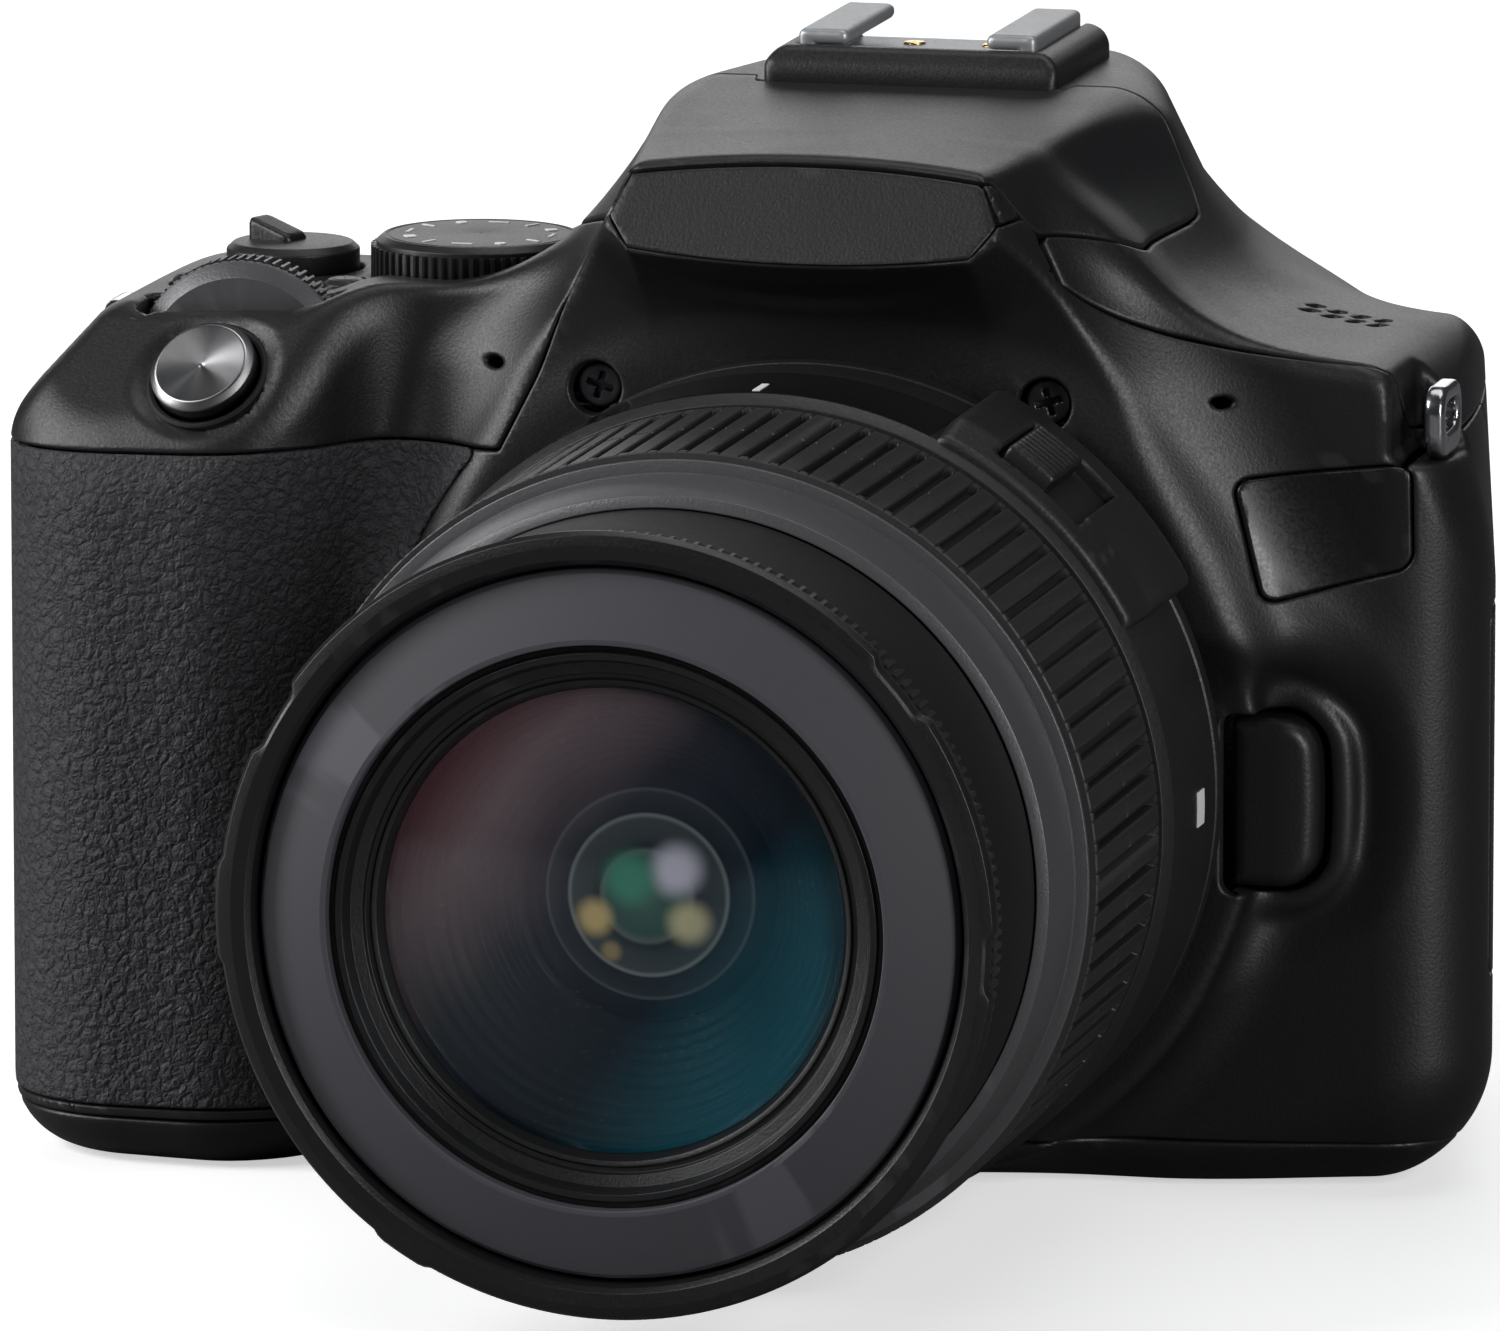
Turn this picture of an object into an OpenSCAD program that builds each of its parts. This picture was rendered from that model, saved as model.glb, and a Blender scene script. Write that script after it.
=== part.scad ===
/* [Body] */
// Lens axis above the base
axis_z = 35; // [34:0.5:36]
// Lens flange plane, in front of the frame's origin
flange_y = -24; // [-24:0.5:-24]
// Outermost grip side
grip_x = -69.8; // [-70.5:0.1:-69.5]
// Outermost terminal side, at the end of the rounded front corner
side_x = 53.2; // [53:0.1:53.5]
// Terminal side at y = 0; it leans inwards to the rear
side_mid_x = 51.2; // [51:0.1:51.4]
// Lean of the terminal side, in degrees
side_lean = 13.3; // [13:0.1:13.5]
// Front face beside the lens
front_y = -19; // [-19:0.5:-19]
// Front of the grip
grip_y = -31; // [-31.5:0.5:-31]
// Rear face around the screen recess
rear_y = 36; // [36:0.5:36]
// Wall of the covers
wall = 2; // [1.8:0.1:2.2]
// Gap between neighbouring covers
gap = 0.1; // [0.08:0.01:0.12]
// Seam between the base cover and the covers above it
base_seam_z = 4; // [3.8:0.1:4.2]
// Seam between the top cover and the covers below it
top_seam_z = 62.5; // [62.5:0.5:62.5]
// Seam between the front and rear covers
mid_seam_y = 6; // [6:0.5:6]

/* [Hump and flash] */
// Half width of the hump at its top
hump_half = 19; // [18.5:0.1:19.5]
// Top of the hump
hump_z = 87.5; // [87.3:0.1:87.7]
// Flash hinge, in y and z
flash_y = 2.2; // [2.2:0.1:2.2]
flash_z = 84.9; // [84.9:0.1:84.9]
// Radius of the flash hinge barrel
flash_r = 2.6; // [2.6:0.1:2.6]

/* [Controls] */
// Shutter button centre on the slope of the grip
shutter_at = [-51.8, -26, 66.1];
// Shutter button radius
shutter_r = 4.1; // [3.8:0.1:4.2]
// Forward tilt of the shutter button
shutter_tilt = 45; // [45:1:45]
// Sideways tilt of the shutter button
shutter_roll = -10; // [-10:1:-10]
// Main dial centre
main_dial_at = [-51, -17.6, 64.6];
// Main dial radius
main_dial_r = 9.6; // [9.4:0.1:9.8]
// Mode dial centre on the top plate
mode_dial_at = [-33.5, -6, 70.6];
// Mode dial radius
mode_dial_r = 9.2; // [9:0.1:9.4]
// Power switch centre on the top plate
power_at = [-52, 2.5, 70.7];
// Power switch radius
power_r = 5.6; // [5.4:0.1:5.8]
// Running clearance of every shaft in its bore
run = 0.05; // [0.03:0.01:0.08]

/* [Lens] */
// Fixed barrel radius
barrel_r = 34.25; // [34.1:0.05:34.4]
// Zoom ring radius under its rubber
zoom_r = 32.4; // [32.3:0.1:32.5]
// Zoom rubber radius over its ribs
rubber_r = 33.4; // [33.3:0.1:33.5]
// Ribs round the zoom rubber
zoom_ribs = 60; // [40:1:72]
// Rim radius of the focus ring
rim_r = 31.4; // [31.2:0.1:31.6]
// Filter thread radius
thread_r = 28.6; // [28.6:0.1:28.6]
// Lens length in front of the flange
lens_l = 73; // [73:0.5:73]

/* [Screen] */
// Screen panel, left and right ends, bottom and top
screen_box = [-37.6, 37.2, 6.4, 58.6];
// Screen hinge axis, in x and y
screen_hinge_at = [39.8, 34.4];

/* [Hidden] */
$fn = 64;

black = [0.05, 0.05, 0.055];
soft_black = [0.09, 0.09, 0.10];
grey = [0.35, 0.35, 0.37];
steel = [0.62, 0.62, 0.64];
silver = [0.82, 0.82, 0.83];
copper = [0.75, 0.55, 0.25];
board = [0.05, 0.25, 0.15];
clear_glass = [0.6, 0.75, 0.85];
far = 120;
corner_steps = 6;

// Terminal side at y
function side_at(y) = side_mid_x - y * tan(side_lean);
// Outlines as [across, along, corner radius], anticlockwise
plan_main = [[-44, front_y, 0], [side_at(front_y), front_y, 10], [side_at(rear_y), rear_y, 5],
    [-44, rear_y, 0]];
plan_grip = [[grip_x, grip_y, 10], [-43.5, grip_y, 9], [-39, front_y, 5], [-30, front_y, 0],
    [-30, rear_y, 0], [grip_x, rear_y, 12]];
front_view = [[grip_x, 0, 6], [side_x, 0, 12], [side_x, 61.5, 8], [47.5, 70, 3], [28, 75.5, 3],
    [-28, 74.5, 3], [-45, 70.5, 4], [-62, 70.5, 6], [grip_x, 61, 3]];
side_main = [[front_y, 0, 7], [rear_y, 0, 4], [rear_y, 76, 4], [front_y, 76, 5]];
side_grip = [[grip_y, 0, 4], [rear_y, 0, 4], [rear_y, 72, 4], [-20, 72, 3], [grip_y, 61, 6]];
hump_front = [[-36, 56, 0], [36, 56, 0], [30, 74, 5], [23, 82, 3], [hump_half, hump_z, 3],
    [-hump_half, hump_z, 3], [-23, 82, 3], [-30, 74, 5]];
hump_side = [[-23.5, 60, 0], [rear_y, 60, 0], [rear_y, 80, 4], [30, hump_z, 4], [2, hump_z, 6],
    [-25.5, 84.2, 1.5], [-25.5, 77, 0], [-23.5, 75, 0]];
hump_plan = [[-18, -25.5, 2], [18, -25.5, 2], [31, -6, 6], [31, rear_y, 5], [-31, rear_y, 5], [-31, -6, 6]];
apron = [[-31, 44], [31, 44], [23, 72], [18, 76.2], [-18, 76.2], [-23, 72]];
name_outline = [[-13.5, 77], [13.5, 77], [17, 79.6], [13, 82.6], [-13, 82.6], [-17, 79.6]];
badge_outline = [[34, 59.6], [37, 49.8], [48.2, 52.4], [48.2, 61]];

function unit(v) = v / norm(v);
function turn(a, b) = a.x * b.y - a.y * b.x;
// One corner p of an outline between a and b, moved inwards by w, as the points of its arc
function corner(a, p, b, w) =
    let (u = unit([a.x - p.x, a.y - p.y]), v = unit([b.x - p.x, b.y - p.y]),
        side = turn(v, u) > 0 ? 1 : -1, half = acos(u * v) / 2, middle = unit(u + v),
        tip = [p.x, p.y] + middle * side * w / sin(half), r = p.z - side * w)
    r < 0.05 || p.z == 0 ? [tip] :
    let (centre = tip + middle * r / sin(half), from = tip + u * r / tan(half) - centre,
        to = tip + v * r / tan(half) - centre, start = atan2(from.y, from.x),
        swept = atan2(turn(from, to), from * to))
    [for (i = [0:corner_steps]) centre + r * [cos(start + swept * i / corner_steps),
        sin(start + swept * i / corner_steps)]];
function outline(p, w) = [for (i = [0:len(p) - 1])
    each corner(p[(i + len(p) - 1) % len(p)], p[i], p[(i + 1) % len(p)], w)];

module block(x0, x1, y0, y1, z0, z1) { translate([x0, y0, z0]) cube([x1 - x0, y1 - y0, z1 - z0]); }
module prism_x(points, x0, x1) { translate([x0, 0, 0]) rotate([90, 0, 90]) linear_extrude(x1 - x0) polygon(points); }
module prism_y(points, y0, y1) { translate([0, y1, 0]) rotate([90, 0, 0]) linear_extrude(y1 - y0) polygon(points); }
module prism_z(points, z0, z1) { translate([0, 0, z0]) linear_extrude(z1 - z0) polygon(points); }
module rod_x(y, z, x0, x1, r) { translate([x0, y, z]) rotate([0, 90, 0]) cylinder(h = x1 - x0, r = r); }
module rod_y(x, z, y0, y1, r) { translate([x, y1, z]) rotate([90, 0, 0]) cylinder(h = y1 - y0, r = r); }
module rod_z(x, y, z0, z1, r) { translate([x, y, z0]) cylinder(h = z1 - z0, r = r); }
// A tube round the lens axis, from f0 to f1 in front of the flange
module lens_tube(f0, f1, ro, ri) {
    difference() {
        rod_y(0, axis_z, flange_y - f1, flange_y - f0, ro);
        rod_y(0, axis_z, flange_y - f1 - 1, flange_y - f0 + 1, ri);
    }
}
// A turned lens part: profile points are [radius, distance in front of the flange]
module lens_turned(profile) {
    translate([0, flange_y, axis_z]) rotate([90, 0, 0]) rotate_extrude() polygon(profile);
}
// Children placed on the shutter button's axis, z outwards
module on_button() { translate(shutter_at) rotate([shutter_tilt, shutter_roll, 0]) children(); }

// The body's outside, moved inwards by w
module slab(w) {
    intersection() {
        prism_z(outline(plan_main, w), -1, far);
        prism_y(outline(front_view, w), -60, 60);
        prism_x(outline(side_main, w), -90, 90);
    }
}
module grip(w) {
    intersection() {
        prism_z(outline(plan_grip, w), -1, far);
        prism_y(outline(front_view, w), -60, 60);
        prism_x(outline(side_grip, w), -90, 90);
    }
}
module hump(w) {
    intersection() {
        prism_z(outline(hump_plan, w), 0, far);
        prism_y(outline(hump_front, w), -60, 60);
        prism_x(outline(hump_side, w), -90, 90);
    }
}
module collar(w) {
    intersection() {
        union() {
            prism_y(apron, -24 + w, -14);
            rod_y(0, axis_z, -22.6 + w, -14, 38 - w);
        }
        prism_x([[-40, 3 + w], [0, 3 + w], [0, far], [-40, far]], -60, 60);
    }
}
module outside(w) {
    slab(w);
    grip(w);
    hump(w);
    collar(w);
}
// The screen's recess, the strap lug pocket and the lens throat, grown by w
module hollows(w) {
    block(screen_box[0] - 1 - w, 90, 31 - w, 60, 5.4 - w, 59.6 + w);
    block(46.5 - w, 60, -30, -8 + w, 61 - w, 80);
    block(-90, -64.8 + w, -1 - w, 10 + w, 61.6 - w, 80);
}
module covers() {
    difference() {
        outside(0);
        difference() {
            outside(wall);
            hollows(wall);
        }
        hollows(0);
        rod_y(0, axis_z, -40, -13, 31.4);
    }
}
// Room of the flash head, grown by g; the barrel's room also clears the head's top as it turns
module flash_zone(g) {
    prism_x([[-40, 82.7 - g], [-22, 82.7 - g], [-20, 80.2 - g], [flash_y, 80.2 - g], [flash_y, far], [-40, far]],
        -40, 40);
    rod_x(flash_y, flash_z, -40, 40, flash_r + 3.4 * g);
}
module front_zone(g) {
    block(-90, 90, -60, mid_seam_y - g, base_seam_z + g, top_seam_z - g);
    block(-26 + g, 26 - g, -60, -16 - g, top_seam_z - 1, 76.2 - g);
}
module skin(t) {
    difference() {
        outside(0);
        outside(t);
    }
}
module grip_patch(g) {
    difference() {
        prism_y([[-80, 5 - g], [-36 + g, 5 - g], [-36 + g, 52], [-30 + g, 58.5 + g], [-52, 58.5 + g],
            [-80, 59 + g]], -60, mid_seam_y - 0.4 + g);
        rod_y(0, axis_z, -60, 20, 38.8 - g);
    }
}
module thumb_patch(g) { block(-80, -60.4 + g, 17 - g, 60, 24 - g, 56 + g); }

// Holes for the rear controls, grown by g
module rear_controls(y0, y1, g) {
    for (b = top_buttons) rod_y(b.x, b.y, y0, y1, b.z + g);
    for (b = low_buttons) rod_y(b.x, b.y, y0, y1, b.z + g);
}
knob_at = [18.8, 68.2];
menu_at = [33.4, 65.6, 2.6];
info_at = [25.4, 65.6, 2.6];
live_at = [-29, 66.8, 3.2];
play_at = [-44, 13.5, 2.8];
erase_at = [-57.5, 13.5, 2.8];
keys_at = [-50.5, 33, 9.3];
lug_right = [49.6, -13, 61];
lug_left = [-67.4, 4.5, 61.6];
top_buttons = [menu_at, info_at, live_at];
low_buttons = [play_at, erase_at, keys_at];
iso_at = [-44.5, -8.6, 1.9];
display_at = [-57.5, -8.6, 1.9];

module front_cover() {
    color(black) difference() {
        intersection() {
            covers();
            front_zone(gap / 2);
        }
        intersection() {
            skin(1.25);
            grip_patch(gap / 2);
        }
        prism_y(badge_outline, -30, front_y + 0.85);
        difference() {
            rod_y(38.5, 33, -30, -17.6, 10);
            rod_y(38.5, 33, -31, -14, 8.2);
        }
        release_shape(-30, -10, 0.2);
        door_gap();
        for (x = [-18.9, 18.9]) rod_y(x, 65.9, -30, -10, 1.75);
        main_dial_space();
        on_button() translate([0, 0, -20]) cylinder(h = 40, r = shutter_r + run);
    }
}
module rear_cover() {
    color(black) difference() {
        intersection() {
            covers();
            block(-90, 90, mid_seam_y + gap / 2, 60, base_seam_z + gap / 2, top_seam_z - gap / 2);
        }
        intersection() {
            skin(1.25);
            thumb_patch(gap / 2);
        }
        rear_controls(20, 60, run);
        door_gap();
    }
    // Ears of the screen hinge
    color(black) for (z = [20, 42]) difference() {
        union() {
            rod_z(screen_hinge_at.x, screen_hinge_at.y, z, z + 4, 2.4);
            block(screen_hinge_at.x - 1.4, screen_hinge_at.x + 1.4, 30.9, screen_hinge_at.y, z, z + 4);
        }
        rod_z(screen_hinge_at.x, screen_hinge_at.y, z - 1, z + 5, 1 + run);
    }
}
module top_cover() {
    color(black) difference() {
        union() {
            intersection() {
                union() {
                    covers();
                    // Thick top plate under the dials
                    intersection() {
                        outside(0);
                        block(-62, -23, -14.5, 12, 66.5, 80);
                    }
                    // Boss round the shutter button
                    on_button() translate([0, 0, -6]) cylinder(h = 6.4, r = 6.3);
                    // Floor and rear wall of the flash bay
                    intersection() {
                        hump(1);
                        union() {
                            block(-40, 40, -30, 7, 77.4, 79);
                            block(-40, 40, 5.2, 7, 77.4, far);
                        }
                    }
                    // Raised base of the accessory shoe
                    prism_y([[-12.6, 85], [12.6, 85], [12.6, 88], [11.4, 90], [-11.4, 90], [-12.6, 88]], 7, 28);
                }
                block(-90, 90, -60, 60, top_seam_z + gap / 2, far);
            }
            // Hinge ears of the flash
            for (s = [-1, 1]) translate([s * 17.7, 0, 0]) {
                rod_x(flash_y, flash_z, -1.4, 1.4, 2.1);
                block(-1.4, 1.4, flash_y, 6, flash_z - 2.1, flash_z + 0.4);
            }
        }
        intersection() {
            front_zone(-gap / 2);
            block(-26 - gap, 26 + gap, -60, -16, top_seam_z - 1, 76.2 + gap);
        }
        difference() {
            flash_zone(0.15);
            for (s = [-1, 1]) translate([s * 17.7, 0, 0]) {
                rod_x(flash_y, flash_z, -1.4, 1.4, 2.1);
                block(-1.4, 1.4, flash_y, 6, flash_z - 2.1, flash_z + 0.4);
            }
        }
        rod_x(flash_y, flash_z, -19.3, 19.3, 1.2 + run);
        intersection() {
            skin(0.65);
            prism_y(name_outline, -30, -20);
        }
        rod_z(mode_dial_at.x, mode_dial_at.y, mode_dial_at.z - 0.15, 90, mode_dial_r + 0.5);
        rod_z(mode_dial_at.x, mode_dial_at.y, 60, 90, 3 + run);
        rod_z(power_at.x, power_at.y, power_at.z - 0.15, 90, power_r + 0.4);
        rod_z(power_at.x, power_at.y, 60, 90, 2.2 + run);
        for (b = [iso_at, display_at]) rod_z(b.x, b.y, 60, 90, b.z + run);
        main_dial_space();
        on_button() translate([0, 0, -20]) cylinder(h = 40, r = shutter_r + run);
        on_button() translate([0, 0, -0.6]) cylinder(h = 20, r = shutter_r + 1.1);
        // Foot slot of the accessory shoe, open to the rear
        block(-10.3, 10.3, 9.6, 40, 87.8, 95);
        block(-9.4, 9.4, 30, 60, 64.4, 75.6);
        rear_controls(20, 60, run);
        rod_y(knob_at.x, knob_at.y, 20, 60, 1.2 + run);
        rod_y(knob_at.x, knob_at.y, rear_y - 0.3, 60, 3.5);
        for (x = [36:2.2:43]) rod_z(x, 4, 60, 90, 0.45);
        for (m = [[-28.4, 67.3], [32.7, 65.9]]) rod_y(m.x, m.y, -30, -10, 0.5);
    }
    color(black) difference() {
        block(-54, -48, -14.9, -12.9, 61, 66.6);
        rod_y(main_dial_at.x, main_dial_at.z, -20, -10, 1.5 + run);
    }
}
module main_dial_space() {
    rod_y(main_dial_at.x, main_dial_at.z, main_dial_at.y - 2.5, main_dial_at.y + 2.5, main_dial_r + 0.4);
}
module base_cover() {
    color(black) difference() {
        union() {
            intersection() {
                difference() {
                    outside(0);
                    outside(wall);
                }
                block(-90, 90, -60, 60, -1, base_seam_z - gap / 2);
            }
            for (y = [[-27.6, -24.3], [17.3, 20.6]]) block(-48.2, -44.6, y[0], y[1], 0, 3.6);
            rod_z(0, 0, 0, 3.8, 11);
        }
        block(-66.2, -45.1, -24.2, 17.2, -1, 9);
        rod_y(0, axis_z, -40, -13, 31.4);
        rod_y(-46.6, 1.2, -27, 20, 0.75 + run);
        rod_z(0, 0, -1, 9, 5.2);
    }
}
module grip_rubber() {
    color(soft_black) intersection() {
        skin(1.2);
        grip_patch(0);
        block(-90, 90, -60, mid_seam_y - 0.5, 4.5, 59.5);
    }
}
module thumb_rubber() {
    color(soft_black) intersection() {
        skin(1.2);
        thumb_patch(0);
    }
}
module name_panel() {
    color(black) intersection() {
        skin(0.6);
        prism_y([for (p = name_outline) [p.x * 0.99, 79.8 + (p.y - 79.8) * 0.98]], -30, -20);
    }
}
module badge_plate() {
    color(black) prism_y([for (p = badge_outline) [41.8 + (p.x - 41.8) * 0.98, 55.5 + (p.y - 55.5) * 0.98]],
        front_y, front_y + 0.8);
}
module body_screws() {
    color(grey) for (x = [-18.9, 18.9]) difference() {
        union() {
            rod_y(x, 65.9, -23.4, -22.6, 1.7);
            rod_y(x, 65.9, -23, -17, 0.9);
        }
        block(x - 1, x + 1, -24, -23, 65.7, 66.1);
        block(x - 0.2, x + 0.2, -24, -23, 64.9, 66.9);
    }
}

// Structure, mount and mirror
module chassis_frame() {
    color(steel) difference() {
        union() {
            lens_tube(-5.4, -2.7, 31, 26.8);
            for (s = [-1, 1]) block(s * 24.9 - 0.9, s * 24.9 + 0.9, -20, 14, 12, 58);
            block(-40, 44, 13.4, 14.8, 8, 58);
        }
        block(-16, 16, 13, 15, axis_z - 11, axis_z + 11);
        rod_y(28.9, axis_z, -22, -17, 1.7);
        rod_y(0, axis_z, -30, -17.9, 26.8);
    }
}
module mount_ring() {
    color(silver) difference() {
        union() {
            lens_tube(-2.6, 0, 31.2, 27);
            intersection() {
                lens_tube(-1.6, 0, 27.5, 25.7);
                for (a = [0, 120, 240]) translate([0, 0, axis_z]) rotate([0, a, 0]) block(-12, 12, -30, -20, 12, 40);
            }
        }
        rod_y(28.9, axis_z, -30, -10, 1.7);
        for (a = [45, 135, 225, 315])
            rod_y(29 * cos(a), axis_z + 29 * sin(a), -25, -20, 0.9);
    }
}
module lens_contacts() {
    color(copper) for (a = [-28:8:28])
        rod_y(22.4 * sin(a), axis_z - 22.4 * cos(a), -22.6, -18.6, 0.8);
    color(black) difference() {
        lens_tube(-5.3, -4.2, 24.2, 20.6);
        block(-30, 30, -30, 0, axis_z - 18, axis_z + 40);
    }
}
module mirror_box() {
    color(black) difference() {
        block(-23.9, 23.9, -18.2, 13.2, 13, 57);
        block(-17.5, 17.5, -19, 14, 19, 51.5);
        block(-14, 14, -17, 10, 51, 58);
        block(-12, 12, -8, 6, 12, 20);
        rod_x(11.4, 50, -20.5, 20.5, 0.8 + run);
    }
}
mirror_pivot = [11.4, 50];
sub_pivot = [-2.4, 33.2];
module main_mirror() {
    color(silver) difference() {
        union() {
            rod_x(mirror_pivot.x, mirror_pivot.y, -20, 20, 0.8);
            translate([0, mirror_pivot.x, mirror_pivot.y]) rotate([45, 0, 0]) block(-17, 17, -28, 0, -0.9, 0.5);
            for (s = [-1, 1]) rod_x(sub_pivot.x, sub_pivot.y, s * 15.2 - 0.6, s * 15.2 + 0.6, 1.4);
        }
        rod_x(sub_pivot.x, sub_pivot.y, -20, 20, 0.5 + run);
        translate([0, sub_pivot.x, sub_pivot.y]) rotate([45, 0, 0]) block(-14.4, 14.4, -1.2, 1.2, -2, 0.2);
    }
}
module sub_mirror() {
    color(silver) {
        rod_x(sub_pivot.x, sub_pivot.y, -15.6, 15.6, 0.5);
        translate([0, sub_pivot.x, sub_pivot.y]) rotate([-45, 0, 0]) block(-10, 10, 0, 9, -0.4, 0.3);
    }
}
module focusing_screen() { color(clear_glass) block(-13.6, 13.6, -16.6, 9.6, 53, 54.4); }
module pentamirror() {
    color(grey) difference() {
        prism_x([[-16, 57.2], [12, 57.2], [18, 62], [18, 70], [4, 76.6], [-15, 70]], -15.5, 15.5);
        prism_x([[-14, 56], [10.5, 56], [16.4, 62.8], [16.4, 69], [4, 74.8], [-13.4, 69]], -13.8, 13.8);
        block(-12, 12, 14, 20, 63, 69.5);
    }
}
module eyepiece_lens() { color(clear_glass) block(-10.5, 10.5, 29.6, 33.6, 63.6, 76.4); }
module eyecup() {
    color(soft_black) difference() {
        prism_y(outline([[-17, 60.8, 5], [17, 60.8, 5], [17, 79.4, 5], [-17, 79.4, 5]], 0), rear_y + 0.1, 41);
        prism_y(outline([[-11, 63.8, 3], [11, 63.8, 3], [11, 76.4, 3], [-11, 76.4, 3]], 0), 30, 50);
        rod_y(knob_at.x, knob_at.y, 20, 60, 3.9);
        rod_y(live_at.x, live_at.y, 20, 60, 4);
    }
}
module dioptre_knob() {
    color(black) {
        rod_y(knob_at.x, knob_at.y, rear_y - 0.2, 38, 3.3);
        rod_y(knob_at.x, knob_at.y, 32, 37, 1.2);
    }
}
module shutter_frame() {
    color(black) difference() {
        block(-23, 23, 15, 18.5, 7, 50);
        block(-13, 13, 14, 20, axis_z - 8.4, axis_z + 8.4);
        block(-15.2, 15.2, 16.2, 17, 8, 48);
    }
}
module shutter_curtain() { color(grey) block(-15, 15, 16.4, 16.8, 26, 44.5); }
module image_sensor() {
    color([0.3, 0.35, 0.45]) block(-13.5, 13.5, 18.9, 21.6, axis_z - 9.5, axis_z + 9.5);
    color(board) block(-22, 22, 21.6, 23, axis_z - 17, axis_z + 17);
}
module main_board() {
    color(board) block(-36, 40, 24.6, 26, 9, 57);
    color(black) block(-8, 8, 26, 27.6, 28, 44);
}
module battery() {
    color(soft_black) block(-64.6, -50.4, -18, 15, 4.6, 50);
}
module battery_door() {
    color(black) {
        block(-65.9, -47.4, -23.8, 16.8, 0, 1.9);
        rod_y(-46.6, 1.2, -23.8, 16.8, 1.15);
        rod_y(-46.6, 1.2, -26.6, 19.6, 0.75);
    }
}
module tripod_socket() {
    color(silver) difference() {
        union() {
            rod_z(0, 0, 0, 3.9, 5.15);
            rod_z(0, 0, 3.9, 7, 7.5);
        }
        rod_z(0, 0, -1, 4, 2.55);
    }
}
module lug(at) {
    translate(at) {
        difference() {
            block(-0.8, 0.8, -4, 4, 0.1, 5.7);
            block(-2, 2, -2.6, 2.6, 1.9, 4.5);
        }
        block(-2.2, 2.2, -3, 3, 0.1, 0.9);
    }
}
module strap_lugs() {
    color(silver) for (p = [lug_right, lug_left]) lug(p);
}
module hot_shoe() {
    color(silver) difference() {
        block(-10.2, 10.2, 9.8, 27.4, 87.9, 91.3);
        block(-9.4, 9.4, 9, 28, 88.3, 90.4);
        block(-5.9, 5.9, 9, 28, 88.3, 92);
    }
}
module flash_head() {
    color(black) difference() {
        union() {
            intersection() {
                difference() {
                    hump(0);
                    hump(wall);
                }
                flash_zone(0);
            }
            intersection() {
                hump(0.5);
                rod_x(flash_y, flash_z, -22, 22, flash_r);
            }
            // Lamp house under the front of the head
            intersection() {
                hump(1);
                block(-15, 15, -19.5, -6, 80.3, 90);
            }
        }
        for (s = [-1, 1]) translate([s * 17.7, 0, 0]) rod_x(flash_y, flash_z, -1.6, 1.6, 2.75);
        for (s = [-1, 1]) block(s * 17.7 - 1.6, s * 17.7 + 1.6, flash_y - 1, 6, flash_z - 3, flash_z + 0.9);
    }
    color(steel) rod_x(flash_y, flash_z, -19.2, 19.2, 1.2);
}

// Controls
module shutter_button() {
    color(silver) on_button() {
        translate([0, 0, -2.2]) cylinder(h = 3.6, r = shutter_r);
        translate([0, 0, -4]) cylinder(h = 2, r = 1.5);
    }
}
module main_dial() {
    color(black) difference() {
        union() {
            rod_y(main_dial_at.x, main_dial_at.z, main_dial_at.y - 2.2, main_dial_at.y + 2.2, main_dial_r);
            rod_y(main_dial_at.x, main_dial_at.z, main_dial_at.y, -12.2, 1.5);
        }
        for (i = [0:31]) translate([main_dial_at.x, main_dial_at.y, main_dial_at.z]) rotate([0, i * 11.25, 0])
            block(-0.35, 0.35, -3, 3, main_dial_r - 0.5, main_dial_r + 1);
    }
}
module mode_dial() {
    color(black) difference() {
        union() {
            rod_z(mode_dial_at.x, mode_dial_at.y, mode_dial_at.z, 75.5, mode_dial_r);
            rod_z(mode_dial_at.x, mode_dial_at.y, 65, 71, 3);
        }
        for (i = [0:39]) translate(mode_dial_at) rotate([0, 0, i * 9])
            block(mode_dial_r - 0.5, mode_dial_r + 1, -0.3, 0.3, 0.6, 4);
    }
}
module power_switch() {
    color(black) {
        rod_z(power_at.x, power_at.y, power_at.z, 72.9, power_r);
        rod_z(power_at.x, power_at.y, 65, 71, 2.2);
        block(power_at.x - 1.3, power_at.x + 1.3, power_at.y - 5.2, power_at.y + 4, 72.9, 74.9);
    }
}
module top_button(b) { rod_z(b.x, b.y, 66, 71.6, b.z); }
module iso_button() { color(black) top_button(iso_at); }
module display_button() { color(black) top_button(display_at); }
module release_shape(y0, y1, g) {
    intersection() {
        rod_y(33.4, 33, y0, y1, 8 + g);
        block(33.6 - g, 60, y0, y1, 25.8 - g, 40.2 + g);
    }
}
module lens_release() {
    color(black) release_shape(-21.6, -15.4, 0);
    color(steel) {
        block(27.6, 39, -16.4, -14.9, 34, 36);
        rod_y(28.9, axis_z, -25.2, -15.5, 1.5);
    }
}
module rear_button(b) { rod_y(b.x, b.y, 32.4, rear_y + 0.9, b.z); }
module menu_button() { color(black) rear_button(menu_at); }
module info_button() { color(black) rear_button(info_at); }
module live_view_button() { color(black) rear_button(live_at); }
module play_button() { color(black) rear_button(play_at); }
module erase_button() { color(black) rear_button(erase_at); }
module set_button() { color(black) rod_y(keys_at.x, keys_at.y, 32.4, rear_y + 1.1, 3.4); }
module cross_keys() {
    color(black) difference() {
        rear_button(keys_at);
        rod_y(keys_at.x, keys_at.y, 20, 60, 3.4 + run);
    }
}

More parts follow.
